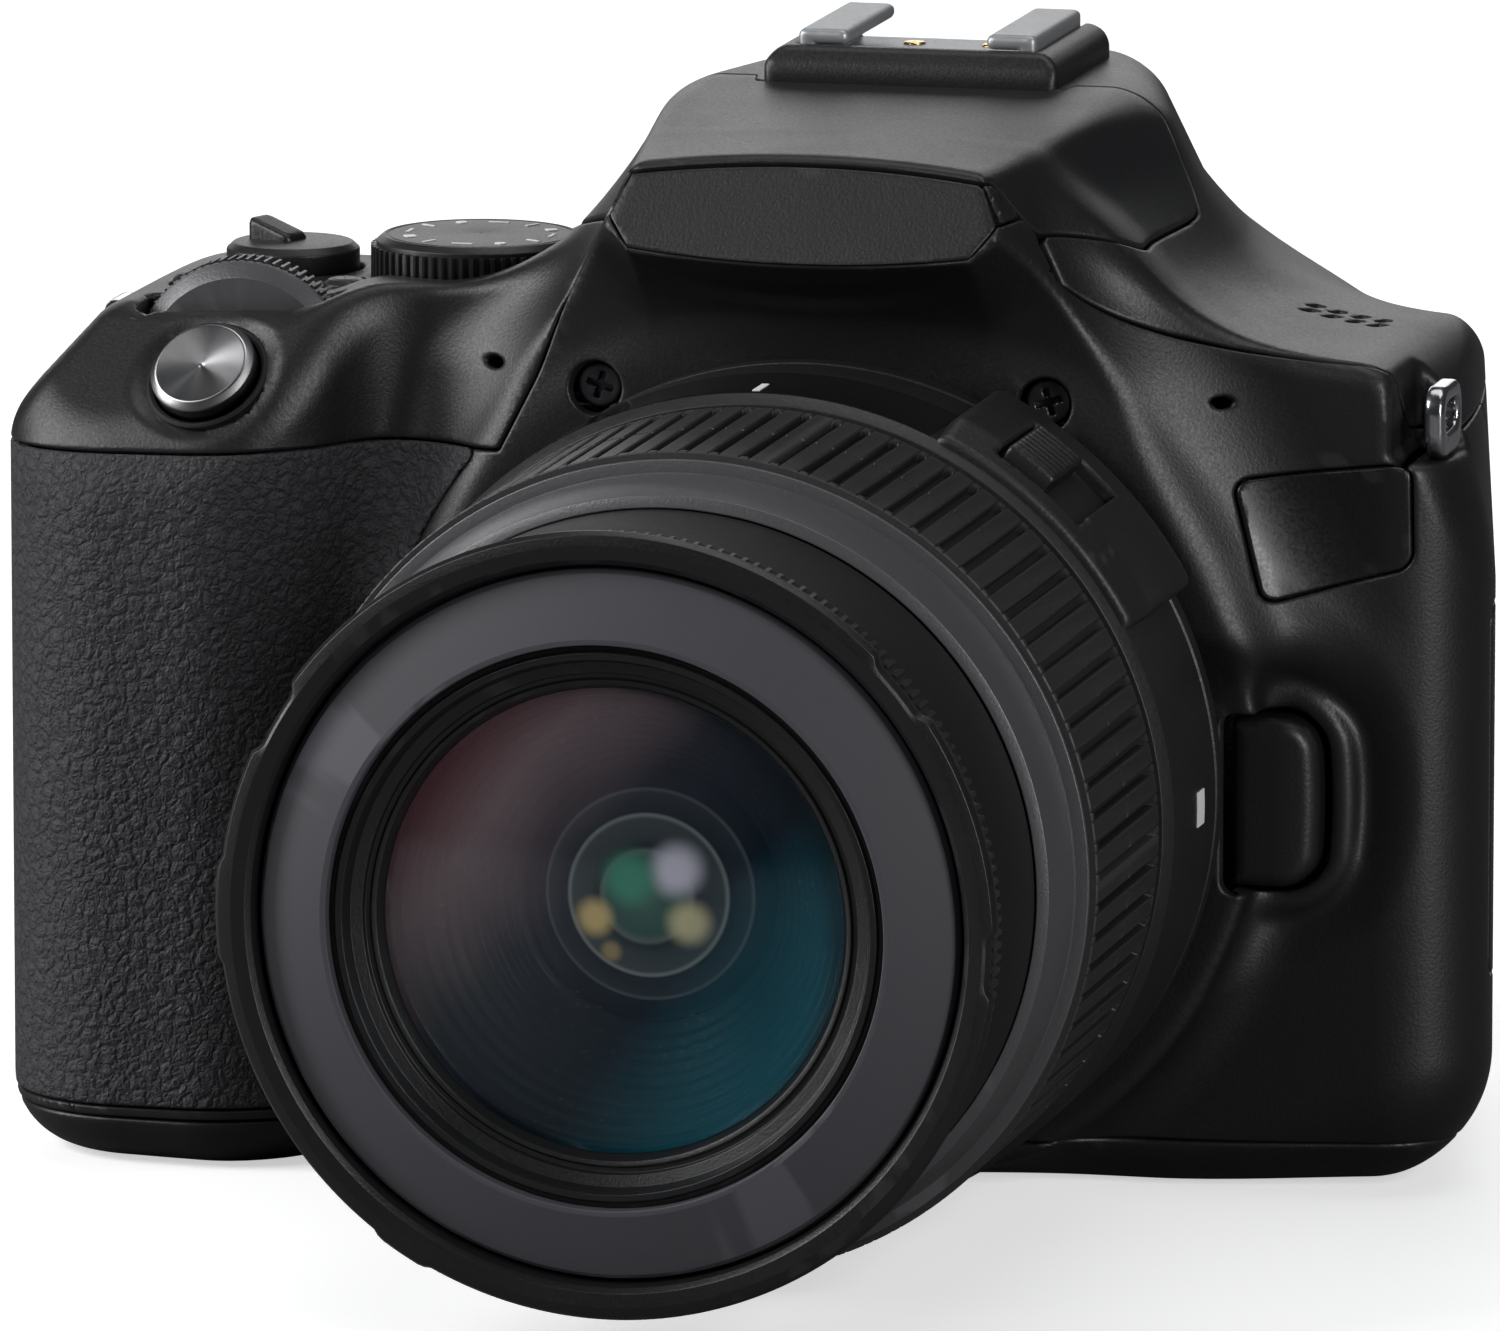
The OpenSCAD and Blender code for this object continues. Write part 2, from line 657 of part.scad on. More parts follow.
// Doors on the terminal side; each starts at its hinge, as [x, y, turn, length]
door_front = [51.6, -12, 6.6, 12];
door_rear = [50.6, 1.2, side_lean, 8.8];
door_z = [17.5, 48.5];
module on_door(d) { translate([d.x, d.y, 0]) rotate([0, 0, d[2]]) children(); }
module door(d) {
    on_door(d) {
        block(-1.8, 0, 0.9, d[3], door_z[0], door_z[1]);
        rod_z(-0.9, 0.9, door_z[0], door_z[1], 0.9);
        rod_z(-0.9, 0.9, door_z[0] - 1.2, door_z[1] + 1.2, 0.5);
    }
}
module door_gap() {
    for (d = [door_front, door_rear]) on_door(d) {
        block(-4, 5, -0.25, d[3] + 0.2, door_z[0] - 0.3, door_z[1] + 0.3);
        rod_z(-0.9, 0.9, door_z[0] - 1.6, door_z[1] + 1.6, 0.5 + run);
    }
}
module terminal_door_front() { color(soft_black) door(door_front); }
module terminal_door_rear() { color(soft_black) door(door_rear); }

// Screen
module screen_panel() {
    color(black) difference() {
        prism_y(outline([[screen_box[0], screen_box[2], 3], [screen_box[1], screen_box[2], 3],
            [screen_box[1], screen_box[3], 3], [screen_box[0], screen_box[3], 3]], 0), 31.3, 37.8);
        block(screen_box[1] - 1.6, 60, 30, 40, 24, 42);
    }
}
module screen_hinge() {
    color(black) {
        rod_z(screen_hinge_at.x, screen_hinge_at.y, 24.2, 41.8, 2.6);
        block(screen_box[1] - 1.5, screen_hinge_at.x, 31.9, 36.9, 24.2, 41.8);
        rod_z(screen_hinge_at.x, screen_hinge_at.y, 21.5, 44.5, 1);
    }
}

// Lens, fixed parts
module lens_mount() {
    color(black) difference() {
        union() {
            lens_tube(0.05, 2.3, 32, 23.2);
            lens_tube(-4, 0.1, 25.2, 23.2);
            intersection() {
                lens_tube(-3.2, -1.75, 26.7, 24);
                for (a = [0, 120, 240]) translate([0, 0, axis_z]) rotate([0, a, 0]) block(-11, 11, -30, -10, 12, 40);
            }
        }
        rod_y(28.9, axis_z, -26, -23, 1.8);
        rod_y(0, axis_z - 24, -23.5, -15, 12);
    }
}
module lens_barrel() {
    color(black) {
        difference() {
            lens_turned([[25, 2.4], [33.6, 2.4], [barrel_r, 3.2], [barrel_r, 21], [33.6, 21.8], [30.2, 21.8],
                [30.2, 44], [29.4, 44], [29.4, 20], [32, 20], [32, 4.4], [25, 4.4]]);
            translate([0, 0, axis_z]) rotate([0, 40, 0]) block(-4, 4, -44.4, -30, 33.4, 40);
        }
        // Raised pad of the focus mode switch
        difference() {
            intersection() {
                lens_tube(3, 21, 36.3, 34);
                translate([0, 0, axis_z]) rotate([0, 40, 0]) block(-8, 8, -60, -20, 20, 40);
            }
            translate([0, 0, axis_z]) rotate([0, 40, 0]) block(-4, 4, -43, -30.6, 33.4, 40);
        }
    }
}
module af_switch() {
    color(black) intersection() {
        lens_tube(7.2, 18.6, 37, 33.7);
        translate([0, 0, axis_z]) rotate([0, 37, 0]) block(-1.6, 1.6, -60, -20, 20, 40);
    }
}
module rear_lens() { color(clear_glass) lens_tube(4.6, 12, 12, 0.01); color(black) lens_tube(-1, 18, 22.8, 12.1); }

// Lens, moving parts
module zoom_ring() {
    color(black) lens_turned([[30.5, 22.1], [zoom_r, 22.1], [zoom_r, 46.4], [31.9, 46.6], [30.6, 51.8],
        [29.9, 52], [29.9, 46], [30.5, 46]]);
}
module zoom_rubber() {
    color(soft_black) difference() {
        lens_tube(22.6, 45.6, rubber_r, zoom_r + 0.02);
        for (i = [0:zoom_ribs - 1]) translate([0, 0, axis_z]) rotate([0, i * 360 / zoom_ribs, 0])
            block(-0.55, 0.55, -69.4, -48, rubber_r - 0.6, rubber_r + 1);
    }
}
module zoom_barrel() {
    color(black) lens_turned([[27.6, 22.5], [29.2, 22.5], [29.2, 52.3], [29.9, 52.3], [30.4, 67.2], [28.4, 67.2],
        [28.4, 62], [27.6, 62]]);
}
module aperture_unit() {
    color(black) difference() {
        lens_tube(38, 41, 27.4, 0.01);
        translate([0, -60, axis_z]) rotate([-90, 0, 0]) cylinder(h = 8, r = 7, $fn = 6);
    }
    color(clear_glass) lens_tube(41.2, 48, 12, 0.01);
}
module focus_sleeve() { color(copper) lens_tube(41.2, 61, 27.3, 25.9); }
module focus_ring() {
    color(black) lens_turned([[24.2, 56], [25.8, 56], [25.8, 67.4], [30.4, 67.4], [30.6, 70], [rim_r, 70.6],
        [rim_r, 72.2], [31.1, 72.5], [thread_r, 72.5], [thread_r, 69.3], [24.2, 69.3]]);
}
module name_ring() {
    color(soft_black) lens_turned([[28.2, 69.4], [28.2, 71], [22.9, 73], [22.5, 73], [18.7, 69.3], [18.7, 66],
        [19.6, 66], [24, 69.4]]);
}
// Front glass, domed with radius dome_r
dome_r = 65;
dome_half = asin(18.6 / dome_r);
module front_lens() {
    color(clear_glass) lens_turned([[0, 62], [18.6, 62],
        for (i = [0:8]) [dome_r * sin(dome_half * (1 - i / 8)), 72 - dome_r * (1 - cos(dome_half * (1 - i / 8)))]]);
}

front_cover();
rear_cover();
top_cover();
base_cover();
grip_rubber();
thumb_rubber();
name_panel();
badge_plate();
chassis_frame();
mount_ring();
body_screws();
lens_contacts();
mirror_box();
main_mirror();
sub_mirror();
focusing_screen();
pentamirror();
eyepiece_lens();
eyecup();
dioptre_knob();
shutter_frame();
shutter_curtain();
image_sensor();
main_board();
battery();
battery_door();
tripod_socket();
strap_lugs();
hot_shoe();
flash_head();
shutter_button();
main_dial();
mode_dial();
power_switch();
iso_button();
display_button();
lens_release();
terminal_door_front();
terminal_door_rear();
screen_panel();
screen_hinge();
menu_button();
info_button();
live_view_button();
play_button();
erase_button();
set_button();
cross_keys();
lens_mount();
lens_barrel();
af_switch();
zoom_ring();
zoom_rubber();
zoom_barrel();
focus_sleeve();
focus_ring();
name_ring();
front_lens();
aperture_unit();
rear_lens();
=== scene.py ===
import math

import bpy
import numpy as np
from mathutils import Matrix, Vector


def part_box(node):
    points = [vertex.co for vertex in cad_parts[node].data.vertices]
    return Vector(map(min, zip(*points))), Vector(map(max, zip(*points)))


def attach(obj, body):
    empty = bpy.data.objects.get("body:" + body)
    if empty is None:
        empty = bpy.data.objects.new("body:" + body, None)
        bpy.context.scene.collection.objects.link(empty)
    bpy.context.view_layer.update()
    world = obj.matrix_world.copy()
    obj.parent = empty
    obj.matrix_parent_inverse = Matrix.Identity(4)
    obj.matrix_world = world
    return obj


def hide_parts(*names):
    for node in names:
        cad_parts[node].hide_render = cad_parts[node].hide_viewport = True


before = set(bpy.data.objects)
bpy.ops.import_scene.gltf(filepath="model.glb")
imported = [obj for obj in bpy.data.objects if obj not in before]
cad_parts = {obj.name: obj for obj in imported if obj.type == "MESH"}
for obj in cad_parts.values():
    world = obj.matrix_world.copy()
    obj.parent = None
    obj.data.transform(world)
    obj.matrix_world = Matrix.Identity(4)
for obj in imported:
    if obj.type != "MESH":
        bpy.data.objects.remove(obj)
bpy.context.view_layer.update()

import openvdb
from mathutils import Vector

# All shape code below works in millimetres in the CAD frame: +Z up, the lens looks along -Y.
MM = 0.001


def span(node):
    """Lowest and highest corner of a CAD node in millimetres."""
    low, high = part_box(node)
    return np.array(low) * 1000, np.array(high) * 1000


def middle(node):
    low, high = span(node)
    return (low + high) / 2


# ---------------------------------------------------------------- driving places, read from the frame
AXIS_Z = middle("zoom_rubber")[2]
GRIP_X = span("front_cover")[0][0]
GRIP_Y = span("front_cover")[0][1]
DIAL = middle("main_dial")
MODE = middle("mode_dial")

# ---------------------------------------------------------------- driving places of the looks
FRONT_Y, REAR_Y = -19.0, 36.0
# the terminal side: where it reaches to, its place at y = 0 and how far it leans back
SIDE_X, SIDE_MID, SIDE_LEAN = 53.2, 51.2, 0.2364
FLANGE_Y = -24.0
HUMP_Z = 87.2
POWER = np.array([-52.0, 2.5, 70.7])
# centre of the shutter button and the direction that its slope faces
SHUTTER = np.array([-51.8, -26.0, 66.1])
SHUTTER_N = np.array([-0.1228, -0.7071, 0.6964])
RELEASE_X, RELEASE_Z = 37.5, 33.0
# flash pivot (y, z) and screen hinge pin (x, y)
PIVOT_Y, PIVOT_Z = 2.2, 84.9
HINGE = (39.8, 34.4)
# apron screws, each side of the lens, and the two microphones
SCREW_X, SCREW_Z = 18.9, 65.9
MICS = ((-28.3, 67.3), (32.7, 65.9))
# middle of the lens switch: degrees from the top, and distance in front of the flange
SWITCH_ANGLE, SWITCH_H = 37.0, 12.9
# thickness of the covers, and the width of their rounded lips
WALL, LIP = 1.2, 0.28
# length of arc for one degree at a radius of 1
DEGREE = 0.01745


# ---------------------------------------------------------------- implicit shape tools
def cut(a, b, r):
    """Where both shapes are, with the edge between them rounded to radius r."""
    return np.minimum(-r, np.maximum(a, b)) + np.sqrt(
        np.maximum(a + r, 0) ** 2 + np.maximum(b + r, 0) ** 2)


def join(a, b, r):
    """Either shape, with a fillet of radius r in the corner between them."""
    return -cut(-a, -b, r)


def carve(a, b, r):
    """Shape a without b."""
    return cut(a, -b, r)


def step(x, a, b):
    t = np.clip((x - a) / (b - a), 0, 1)
    return t * t * (3 - 2 * t)


def bump(x, width):
    return np.exp(-((x / width) ** 2))


def box(x, y, z, low, high, r=0.0):
    """Distance to a box with edges rounded to r."""
    q = [np.abs(v - (a + b) / 2) - ((b - a) / 2 - r) for v, a, b in zip((x, y, z), low, high)]
    outer = np.sqrt(sum(np.maximum(v, 0) ** 2 for v in q))
    return outer + np.minimum(np.maximum(np.maximum(q[0], q[1]), q[2]), 0) - r


def box2(u, v, low, high, r=0.0):
    """Distance to a rectangle with corners rounded to r."""
    a = np.abs(u - (low[0] + high[0]) / 2) - ((high[0] - low[0]) / 2 - r)
    b = np.abs(v - (low[1] + high[1]) / 2) - ((high[1] - low[1]) / 2 - r)
    return np.sqrt(np.maximum(a, 0) ** 2 + np.maximum(b, 0) ** 2) + np.minimum(np.maximum(a, b), 0) - r


def polygon(u, v, points, r=0.0):
    """Distance to a convex polygon, given anticlockwise, with corners rounded to r."""
    d = None
    for p, q in zip(points, points[1:] + points[:1]):
        ex, ey = q[0] - p[0], q[1] - p[1]
        length = math.hypot(ex, ey)
        side = ((u - p[0]) * ey - (v - p[1]) * ex) / length
        d = side if d is None else cut(d, side, r)
    return d


def lens_radius(x, z):
    return np.sqrt(x * x + (z - AXIS_Z) ** 2)


def on_button(x, y, z):
    """Radius from the shutter button's axis, and height along it."""
    dx, dy, dz = x - SHUTTER[0], y - SHUTTER[1], z - SHUTTER[2]
    h = dx * SHUTTER_N[0] + dy * SHUTTER_N[1] + dz * SHUTTER_N[2]
    return np.sqrt(np.maximum(dx * dx + dy * dy + dz * dz - h * h, 0)), h


# ---------------------------------------------------------------- the body's outside
def hump_half(y, z):
    """Half width of the hump: one leaning plane, flared at the apron's foot and drawn in behind the shoe."""
    flare = 0.74 * step(75 - z, 0, 9) * (np.minimum(y, -17) + 24.8)
    taper = 0.22 * (y - 11 + np.sqrt((y - 11) ** 2 + 9)) * step(z, 54, 62)
    return 14.66 + 0.17 * (y + 30) - 0.5 * (z - 85) + flare - taper


def brow_low(x):
    """Lower edge of the name panel, where the brow turns under; it climbs to the panel's two tips."""
    return 77.7 + 0.0050 * x * x + 1.1 * np.maximum(np.abs(x) - 14.3, 0)


def brow_high(x):
    """Upper edge of the name panel, under the front edge of the flash head."""
    return 85.6 - 0.0045 * x * x


def brow(x, y, z):
    """Distance ahead of the hump's front: the name panel leans back, and under it the apron curves in."""
    panel = (-32.6 + 0.58 * (z - 78.7) - y) * 0.865
    under = np.clip((z - 68.5) / (brow_low(x) - 68.5), 0, 2) ** 1.8
    return cut(panel, (-24.2 - 8.6 * under - y) * 0.72, 0.45)


def top_height(x, y):
    left = 70.7 + 2.3 * step(x, -47, -38) + 2.4 * step(x, -34, -21) + 5 * step(x, -24, -14)
    rise = 8.9 * np.exp(-(np.clip(x, 5, 90) - 24.7) / 7)
    right = 68.6 + rise / (1 + (rise / 11) ** 4) ** 0.25
    fall = 5 * (np.maximum(y - 5, 0) / 25) ** 2 * (1 - 0.35 * bump(x - 31, 7))
    return np.where(x < 0, left, right) - fall


def body_field(x, y, z):
    """Signed distance, nearly, to the body's outside; negative inside."""
    radius = lens_radius(x, z)
    inner = 0.936 * (x + 43.5) - 0.351 * (y - GRIP_Y)
    front = join(FRONT_Y - y + 0 * x, cut(GRIP_Y - y + 0 * x, inner, 9.0), 5.0)
    right = (x - SIDE_MID + y * SIDE_LEAN) * 0.973
    plan = cut(cut(front, right, 10.0), GRIP_X - x, 11.0)
    rho, h = on_button(x, y, z)
    d = cut(plan, h, 3.2)
    d = cut(d, -0.773 * (x - GRIP_X) + 0.634 * (z - 61), 1.4)
    top = (z - top_height(x, y)) * 0.97
    d = cut(d, top, 1.1 + 1.6 * bump(y - 20, 14) + 0.6 * step(x, 5, 30))
    d = cut(d, (x - 50.5 + 0.52 * (z - 62)) * 0.887, 3.0)
    # shallow dish round the lens release
    dish = np.sqrt((x - 35.3) ** 2 + (y + 46.0) ** 2 + (z - 33.6) ** 2) - 29.8
    d = carve(d, dish, 1.3)
    # hump with the apron under its front
    side = (np.abs(x) - hump_half(y, z)) * 0.88
    roof = z - HUMP_Z + 0.027 * np.maximum(8 - y, 0) + 0.0045 * x * x * step(8 - y, 0, 37)
    hump = cut(cut(side, brow(x, y, z), 0.55), roof, 0.8 + 2.6 * step(y, -8, 16))
    hump = cut(hump, 46.0 + 17.0 * step(y, -15, -4) - z, 2.0)
    crease = np.maximum(1 - np.abs(z - 74.6 - 0.012 * x * x) / 1.3, 0)
    dent = 0.5 * crease * bump(x, 8.0) * step(-y, 20, 23)
    d = join(d, hump + dent, 3.5 + 3.5 * step(-y, 8, 17))
    collar = cut(radius - 36.6, -22.8 - y + 0 * x, 0.8)
    d = join(d, collar, 4.5)
    # lip round the lens release
    around = release_outline(x, z)
    lip = np.sqrt((around - 1.25) ** 2 + (y + 18.0) ** 2) - 1.25
    d = join(d, cut(lip, 34.6 - x, 1.5), 1.2)
    # shutter recess and the soft ring round it
    d = d + 0.5 * (1 - step(rho, 5.2, 6.8)) * step(h, -5, -2)
    d = carve(d, np.maximum(rho - 4.95, -2.9 - h), 0.2)
    # slot of the main dial, wells of the mode dial and of the power switch
    slot = box2(x - DIAL[0], y + 17.6, (-8.4, -2.75), (8.4, 2.75), 1.0)
    d = carve(d, np.maximum(slot, 60 - z), 0.7)
    well = np.sqrt((x - MODE[0]) ** 2 + (y - MODE[1]) ** 2)
    d = carve(d, np.maximum(well - 9.6, 70.5 - z), 0.5)
    well = np.sqrt((x - POWER[0]) ** 2 + (y - POWER[1]) ** 2)
    d = carve(d, np.maximum(well - 6.0, 69.6 - z), 0.3)
    # pockets of the strap lugs
    pocket = cut(cut(46.4 - x, y + 8.0, 1.2), 61.0 - z, 1.2)
    d = carve(d, pocket, 0.7)
    pocket = cut(cut(x + 64.8, np.abs(y - 4.5) - 5.5, 1.2), 61.6 - z, 1.2)
    d = carve(d, pocket, 0.7)
    # thumb rest behind the grip
    d = d - 1.1 * bump(x + 60, 7) * bump(z - 54, 6) * step(y, 28, 34)
    # base and rear planes
    d = cut(d, -z + 0 * x, 4.2 + 7.0 * step(x, 26, 52) + 2.0 * step(-x, 48, 66))
    d = cut(d, y - REAR_Y + 0 * x, 5.0 + 3 * step(-x, 40, 60) * step(70 - z, 0, 8))
    # recess of the screen and the window of the eyepiece
    low, high = span("screen_panel")
    recess = box2(x, z, (low[0] - 0.8, low[2] - 0.9), (high[0] + 12, high[2] + 0.9), 3.2)
    d = carve(d, np.maximum(31.0 - y, recess), 0.5)
    window = np.maximum(box2(x, z, (-9.4, 64.4), (9.4, 75.6), 1.5), 29.0 - y)
    return carve(d, window, 0.5)


def release_outline(x, z):
    """Outline of the lens release, a D with a straight edge on the lens side."""
    bow = x - 41.3 + 0.010 * (z - RELEASE_Z) ** 2
    return cut(cut(33.6 - x, np.abs(z - RELEASE_Z) - 7.2, 0.8), bow, 3.0)


# ---------------------------------------------------------------- meshes from shapes
def gradient(field, p, eps=0.05):
    g = np.empty_like(p)
    for k in range(3):
        hi, lo = p.copy(), p.copy()
        hi[:, k] += eps
        lo[:, k] -= eps
        g[:, k] = (field(*hi.T) - field(*lo.T)) / (2 * eps)
    return g


def project(field, p, rounds=2, limit=0.6):
    """Moves points onto field = 0, each by no more than limit in a round."""
    for _ in range(rounds):
        g = gradient(field, p)
        n2 = np.maximum((g * g).sum(1), 0.15)
        move = (field(*p.T) / n2)[:, None] * g
        size = np.linalg.norm(move, axis=1, keepdims=True)
        p = p - move * np.minimum(1, limit / np.maximum(size, 1e-9))
    return p


def normals(field, p):
    g = gradient(field, p)
    return g / np.maximum(np.linalg.norm(g, axis=1, keepdims=True), 1e-9)


def skin(field, low, high, pitch, relax=2):
    """Closed triangle mesh of field = 0 inside the given box."""
    low, high = np.array(low, float), np.array(high, float)
    counts = np.ceil((high - low) / pitch).astype(int) + 1
    axes = [low[k] + pitch * np.arange(counts[k]) for k in range(3)]
    x, y, z = (a.astype(np.float32) for a in axes)
    values = field(x[:, None, None], y[None, :, None], z[None, None, :])
    values = np.broadcast_to(values, counts)
    grid = openvdb.FloatGrid(3.0)
    grid.copyFromArray(np.ascontiguousarray(np.clip(values / pitch, -3, 3), dtype=np.float32))
    v, t, q = grid.convertToPolygons(0.0, 0.0)
    v = np.asarray(v, float) * pitch + low
    q = np.asarray(q, np.int64)
    t = np.asarray(t, np.int64).reshape(-1, 3)
    v = project(field, v, limit=pitch)
    for _ in range(relax):
        v = relaxed(v, q, field)
    faces = np.concatenate([q[:, [0, 1, 2]], q[:, [0, 2, 3]], t])
    return orient(field, v, faces)


def relaxed(v, q, field):
    """Evens out the spacing of the vertices without leaving the surface."""
    total, count = np.zeros_like(v), np.zeros(len(v))
    for k in range(4):
        a, b = q[:, k], q[:, (k + 1) % 4]
        for i, j in ((a, b), (b, a)):
            for c in range(3):
                total[:, c] += np.bincount(i, v[j, c], len(v))
            count += np.bincount(i, minlength=len(v))
    mean = total / np.maximum(count, 1)[:, None]
    n = normals(field, v)
    move = mean - v
    move -= (move * n).sum(1)[:, None] * n
    return project(field, v + 0.5 * move, rounds=1, limit=0.3)


def orient(field, v, f):
    centre = v[f].mean(1)
    n = np.cross(v[f[:, 1]] - v[f[:, 0]], v[f[:, 2]] - v[f[:, 0]])
    sample = slice(0, len(f), max(1, len(f) // 5000))
    if (n[sample] * normals(field, centre[sample])).sum(1).mean() < 0:
        f = f[:, ::-1]
    return v, f


def slice_at(v, f, scalar, level, surface, snap=0.0):
    """Cuts the triangles of (v, f), which lie on surface = 0, along scalar = level.
    Returns the mesh and each vertex's side of the cut, -1, 0 or 1."""
    a = scalar(*v.T) - level
    if snap:
        close = np.abs(a) < snap
        if close.any():
            v = v.copy()
            v[close] = onto(v[close], scalar, level, surface)
            a[close] = 0
    a[np.abs(a) < 1e-7] = 0
    s = np.sign(a).astype(int)
    fs = s[f]
    mixed = (fs.min(1) < 0) & (fs.max(1) > 0)
    whole, todo = f[~mixed], f[mixed]
    if not len(todo):
        return v, f, s
    ts = s[todo]
    edges = np.concatenate([todo[:, [0, 1]], todo[:, [1, 2]], todo[:, [2, 0]]])
    es = np.concatenate([ts[:, 0] * ts[:, 1], ts[:, 1] * ts[:, 2], ts[:, 2] * ts[:, 0]])
    key = np.sort(edges, 1)
    unique, back = np.unique(key[es < 0], axis=0, return_inverse=True)
    w = a[unique[:, 0]] / (a[unique[:, 0]] - a[unique[:, 1]])
    new = v[unique[:, 0]] * (1 - w[:, None]) + v[unique[:, 1]] * w[:, None]
    new = onto(new, scalar, level, surface)
    mid = np.full(len(edges), -1)
    mid[es < 0] = back.ravel() + len(v)
    n = len(todo)
    mid = np.stack([mid[:n], mid[n:2 * n], mid[2 * n:]], 1)
    v = np.concatenate([v, new])
    s = np.concatenate([s, np.zeros(len(new), int)])
    out = [whole]
    crossings = (mid >= 0).sum(1)
    for k in range(3):
        # two edges crossed: the corner k stands alone
        rows = (crossings == 2) & (mid[:, k] >= 0) & (mid[:, (k + 2) % 3] >= 0)
        p, q, r = todo[rows, k], todo[rows, (k + 1) % 3], todo[rows, (k + 2) % 3]
        pq, rp = mid[rows, k], mid[rows, (k + 2) % 3]
        out += [np.stack([p, pq, rp], 1), np.stack([pq, q, r], 1), np.stack([pq, r, rp], 1)]
        # one edge crossed, opposite a corner that lies on the level
        rows = (crossings == 1) & (mid[:, k] >= 0)
        p, q, r = todo[rows, k], todo[rows, (k + 1) % 3], todo[rows, (k + 2) % 3]
        pq = mid[rows, k]
        out += [np.stack([p, pq, r], 1), np.stack([pq, q, r], 1)]
    return v, np.concatenate(out), s


def onto(p, scalar, level, surface):
    """Moves points to scalar = level along the surface."""
    start = p
    for _ in range(3):
        g = gradient(scalar, p, 0.02)
        n = normals(surface, p)
        g = g - (g * n).sum(1)[:, None] * n
        size = np.maximum((g * g).sum(1), 0.05)
        move = ((scalar(*p.T) - level) / size)[:, None] * g
        length = np.linalg.norm(move, axis=1, keepdims=True)
        p = p - move * np.minimum(1, 0.2 / np.maximum(length, 1e-9))
        p = project(surface, p, rounds=1, limit=0.1)
    far = np.linalg.norm(p - start, axis=1) > 0.35
    p[far] = start[far]
    return p


def shell(v, f, field, zone, gap, snap=0.14):
    """The part of the skin (v, f) where zone < -gap, as a closed shell with rounded lips."""
    a = zone(*v.T)
    f = f[(a[f] < 0.4).any(1)]
    used, inverse = np.unique(f, return_inverse=True)
    v, f = v[used], inverse.reshape(-1, 3)
    v, f, s = slice_at(v, f, zone, -gap, field, snap)
    f = f[(s[f] <= 0).all(1) & (s[f] < 0).any(1)]
    for inset in (0.04, 0.13, LIP):
        v, f, _ = slice_at(v, f, zone, -gap - inset, field)
    used, inverse = np.unique(f, return_inverse=True)
    v, f = v[used], inverse.reshape(-1, 3)
    n = normals(field, v)
    t = np.clip((-gap - zone(*v.T)) / LIP, 0, 1)
    rim = boundary(f)
    on_rim = np.zeros(len(v), bool)
    on_rim[rim.ravel()] = True
    t[on_rim] = 0
    drop = LIP * (1 - np.sqrt(np.maximum(1 - (1 - t) ** 2, 0)))
    outer = v - n * drop[:, None]
    inside = v - n * WALL
    count = len(v)
    a, b = rim[:, 0], rim[:, 1]
    strip = np.concatenate([np.stack([b, a, a + count], 1), np.stack([b, a + count, b + count], 1)])
    return np.concatenate([outer, inside]), np.concatenate([f, f[:, ::-1] + count, strip])


def boundary(f):
    """Directed edges with no partner."""
    e = np.concatenate([f[:, [0, 1]], f[:, [1, 2]], f[:, [2, 0]]])
    big = int(f.max()) + 1
    code, partner = e[:, 0] * big + e[:, 1], e[:, 1] * big + e[:, 0]
    return e[~np.isin(code, partner)]


def add(name, v, f, material, body, also=None, smooth=35, quads=None):
    """Makes the Blender object from millimetre vertices and triangles (and quads), and rides it on its body.
    It stands for the CAD node of its own name, where there is one, or for the node named in also."""
    v = np.asarray(v, float)
    mesh = bpy.data.meshes.new(name)
    f = np.asarray(f, np.int32).reshape(-1, 3)
    loops = f.ravel()
    starts = np.arange(len(f)) * 3
    if quads is not None:
        quads = np.asarray(quads, np.int32).reshape(-1, 4)
        starts = np.concatenate([starts, len(loops) + np.arange(len(quads)) * 4])
        loops = np.concatenate([loops, quads.ravel()])
    mesh.vertices.add(len(v))
    mesh.vertices.foreach_set("co", (v * MM).astype(np.float32).ravel())
    mesh.loops.add(len(loops))
    mesh.loops.foreach_set("vertex_index", loops.astype(np.int32))
    mesh.polygons.add(len(starts))
    mesh.polygons.foreach_set("loop_start", starts.astype(np.int32))
    mesh.polygons.foreach_set("use_smooth", np.ones(len(starts), bool))
    mesh.update(calc_edges=True)
    mesh.validate()
    mesh.set_sharp_from_angle(angle=math.radians(smooth))
    mesh.materials.append(material)
    o = bpy.data.objects.new(name, mesh)
    bpy.context.scene.collection.objects.link(o)
    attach(o, body)
    for stands_for in {name, also} & set(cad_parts):
        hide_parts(stands_for)


def add_quads(name, v, q, material, body, smooth=35):
    v, q = outward(v, q)
    add(name, v, np.zeros((0, 3)), material, body, None, smooth, q)


def solid(name, field, low, high, pitch, material, body, also=None, relax=1):
    """A closed mesh of field = 0 inside the box from low to high."""
    v, f = skin(field, low, high, pitch, relax)
    add(name, v, f, material, body, also)


